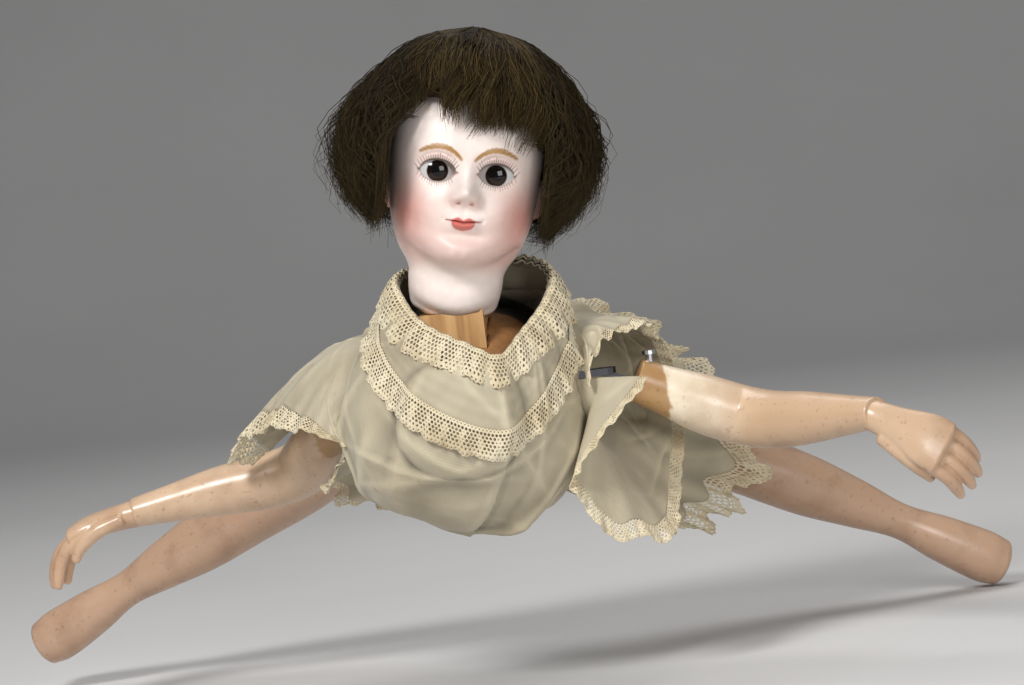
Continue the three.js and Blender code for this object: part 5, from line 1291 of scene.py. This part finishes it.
def bodice():
    """Bodice and the loose cape collar over it, each edged with lace, all held by the body."""
    u = np.linspace(0, 1, 440, endpoint=False)
    v = np.linspace(0, 1, 110)
    points = bodice_point(u[None], v[:, None])
    long = np.linalg.norm(np.diff(points, axis=0), axis=-1).sum(0)
    drop = armholes(points)
    piece = cloth_piece("bodice_cloth", points, True, drop)
    finish_piece(piece, "torso", "cloth", "dress_bodice")
    cape = bodice_point(u[None], np.linspace(0, 1, 40)[:, None] * cape_depth(u)[None], 1.8)
    cape_piece = cloth_piece("cape_collar", cape, True)
    finish_piece(cape_piece, "torso", "cloth")

    def on_bodice(share, first, lift):
        """Surface for lace from the back of the neck round, starting at a share of the bodice's length."""
        return lambda s, d: bodice_point(s + 0.5, first(s + 0.5) + d * share(s + 0.5), lift)

    def wide_share(wide):
        return lambda at: wide / np.interp(at % 1, u, long)

    neck_lace = lace_band("neck_lace", on_bodice(wide_share(13), lambda at: 0.003 + 0 * at, 2.9), 13)
    cape_edge = on_bodice(wide_share(LACE_WIDE), lambda at: cape_depth(at) - 0.01, 2.9)
    cape_lace = lace_band("cape_lace", cape_edge, LACE_WIDE)
    for band in (neck_lace, cape_lace):
        finish_piece(band, "torso", "cloth")


bodice()


def skirt_point(u, v):
    """Skirt: from the waist's section out to an uneven hem, with folds that grow towards the hem."""
    u, v = np.broadcast_arrays(u, v)
    degrees = SKIRT_HEM[0, 0] + (SKIRT_HEM[-1, 0] - SKIRT_HEM[0, 0]) * u
    turn = np.radians(degrees)
    waist = body_point(np.full_like(turn, WAIST_Y - SKIRT_TUCK), turn, SKIRT_OFF - SKIRT_DRAWN_IN)
    x, y, z = (between(SKIRT_HEM[:, (0, k)], degrees) for k in (1, 2, 3))
    fold = 1 + 0.05 * v * np.sin(SKIRT_FOLDS * turn) + 0.03 * v * np.sin(7 * turn + 1)
    fold = fold + 0.012 * v * wrinkles(u, v, 41, 60, 5.0)
    y = y + 1.5 * v * np.sin(9 * turn + 2) - 1
    hem = np.stack([x * fold, y, SKIRT_MIDDLE + (z - SKIRT_MIDDLE) * fold], -1)
    share = np.stack([v ** 1.3, v, v ** 1.3], -1)
    return waist + (hem - waist) * share


def skirt():
    """Skirt with its lace at the hem, gathered to the waist and lying over the hips."""
    hem_from = 0.8
    u, v = np.linspace(0, 1, 420), np.linspace(0, hem_from + 0.04, 56)
    points = skirt_point(u[None], v[:, None])
    piece = cloth_piece("skirt_cloth", points)
    finish_piece(piece, "torso", "cloth", "dress_skirt")
    band = lace_band("skirt_lace", lambda s, d: skirt_point(s, hem_from + 0.2 * d), LACE_WIDE)
    finish_piece(band, "torso", "cloth")


skirt()


def bodice_side(y, z):
    """Half width of the bodice at a spot along the body and a height."""
    half, rise, middle = body_section(y, bodice_grow(y))
    share = np.minimum(0.97, np.abs(z - middle) / rise)
    return half * (1 - share ** BODY_SQUARENESS) ** (1 / BODY_SQUARENESS)


def sleeve_point(name, u, v):
    """Sleeve: cloth from the seam round the armhole to its hem, its angle counted from the top to the back.
    It puffs up over the shoulder, and its folds grow towards the hem."""
    u, v = np.broadcast_arrays(u, v)
    cut = SLEEVES[name]
    side, hem = SIDES[name], cut["hem"]
    degrees = hem[0, 0] + (hem[-1, 0] - hem[0, 0]) * u
    turn = np.radians(degrees)
    stretch = np.where(np.sin(turn) > 0, 1 + ARMHOLE_BACK[name], 1)
    y = SHOULDER[1] + cut["set"] + cut["narrow"] * np.sin(turn) * stretch
    z = ARM_LEVER_Z + cut["narrow"] * np.cos(turn)
    off = 0.6 + (cut["off"] - 0.6) * ease(0, 0.2, v)
    seam = np.stack([side * (bodice_side(y, z) + off), y, z], -1)
    end = np.stack([between(hem[:, (0, k)], degrees) for k in (1, 2, 3)], -1)
    swell = 0.55 * cut["puff"] * np.sin(np.pi * np.clip(v, 0, 1)) * np.maximum(0, np.cos(turn))
    waves = 1.6 * np.sin(9 * turn) + np.sin(5 * turn + 2) + 1.1 * v * np.sin(23 * turn)
    ripple = v * (waves + wrinkles(u, v, 51 + side, 40, 3.0))
    out = np.stack([0 * turn, 0.5 * np.sin(turn) * ripple, swell + np.cos(turn) * ripple], -1)
    return seam + (end - seam) * v[..., None] + out


def sleeve(name):
    """One sleeve with lace at its hem and up its front edge, from its seam on the bodice out towards the arm."""
    hem_from = 0.82
    u, v = np.linspace(0, 1, 300), np.linspace(0, hem_from + 0.03, 60)
    points = sleeve_point(name, u[None], v[:, None])
    wide, long = cut_size(points)
    piece = cloth_piece(f"{name}_sleeve_cloth", points)
    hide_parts(f"{name}_sleeve")
    edge_share = 0.7 * LACE_WIDE * MM / wide

    def along_hem(s, d):
        return sleeve_point(name, s, hem_from + (1 - hem_from) * d)

    def up_front(s, d):
        return sleeve_point(name, edge_share * (1.2 - d), 0.3 + 0.6 * s)

    hem = lace_band(f"{name}_sleeve_lace", along_hem, LACE_WIDE)
    edge = lace_band(f"{name}_front_lace", up_front, LACE_WIDE)
    for cloth in (piece, hem, edge):
        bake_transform(cloth)


for sleeve_side in SIDES:
    sleeve(sleeve_side)


# Floor, light and camera
def studio():
    """Pale floor under the toes that curves up behind, a soft key from the left, a fill and a top light."""
    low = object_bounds()[0].z / MM - 1.0
    s = np.linspace(0, 1, 60)
    run = np.where(s < 0.6, -1500 + 3200 * s / 0.6, 1700 + 900 * np.sin((s - 0.6) / 0.4 * np.pi / 2))
    rise = np.where(s < 0.6, 0, 900 * (1 - np.cos((s - 0.6) / 0.4 * np.pi / 2)))
    x = np.linspace(-3000, 3000, 20)
    points = np.stack(np.broadcast_arrays(x[None], run[:, None], low + rise[:, None]), -1)
    material, tree, shader = new_material("Pale backdrop", (0.62, 0.61, 0.60), 0.85)
    soft = ramp(tree, noise(tree, 3), [(0.3, (0.60, 0.59, 0.58)), (0.7, (0.64, 0.63, 0.62))])
    tree.links.new(soft, shader.inputs["Base Color"])
    floor = make_piece("backdrop", points.reshape(-1, 3), [grid_faces(60, 20, False)], material)
    world = bpy.data.worlds.new("Studio")
    world.use_nodes = True
    world.node_tree.nodes["Background"].inputs["Color"].default_value = (0.9, 0.92, 0.95, 1)
    world.node_tree.nodes["Background"].inputs["Strength"].default_value = 0.15
    bpy.context.scene.world = world
    for name, spot, power, size in (
        ("key", (-0.6, -1.1, 1.05), 18.5, 0.36),
        ("fill", (0.75, -1.35, 0.4), 9, 0.6),
        ("top", (0.1, 0.35, 1.2), 8, 0.9),
    ):
        lamp = bpy.data.lights.new(name, "AREA")
        lamp.energy, lamp.size = power, size
        light = bpy.data.objects.new(name, lamp)
        light.location = spot
        light.rotation_mode = "QUATERNION"
        light.rotation_quaternion = (Vector((0, -0.02, 0.06)) - Vector(spot)).to_track_quat("-Z", "Y")
        bpy.context.scene.collection.objects.link(light)


def camera():
    """Long lens from the front, a little to the right and above, rolled so that the right side is higher."""
    azimuth, elevation, roll = math.radians(4), math.radians(3.5), math.radians(7)
    flat = math.cos(elevation)
    back = Vector((math.sin(azimuth) * flat, -math.cos(azimuth) * flat, math.sin(elevation)))
    level = Vector((math.cos(azimuth), math.sin(azimuth), 0))
    upright = back.cross(level)
    right = level * math.cos(roll) - upright * math.sin(roll)
    up = level * math.sin(roll) + upright * math.cos(roll)
    lens = bpy.data.cameras.new("camera")
    lens.lens, lens.sensor_width = 131, 36
    eye = bpy.data.objects.new("camera", lens)
    aim, away = Vector((0.023, -0.040, 0.073)), 1.6
    turn = Matrix((right, up, back)).transposed().to_4x4()
    eye.matrix_world = Matrix.Translation(aim + back * away) @ turn
    bpy.context.scene.collection.objects.link(eye)
    bpy.context.scene.camera = eye


studio()
camera()
bpy.context.scene.view_settings.view_transform = "Standard"
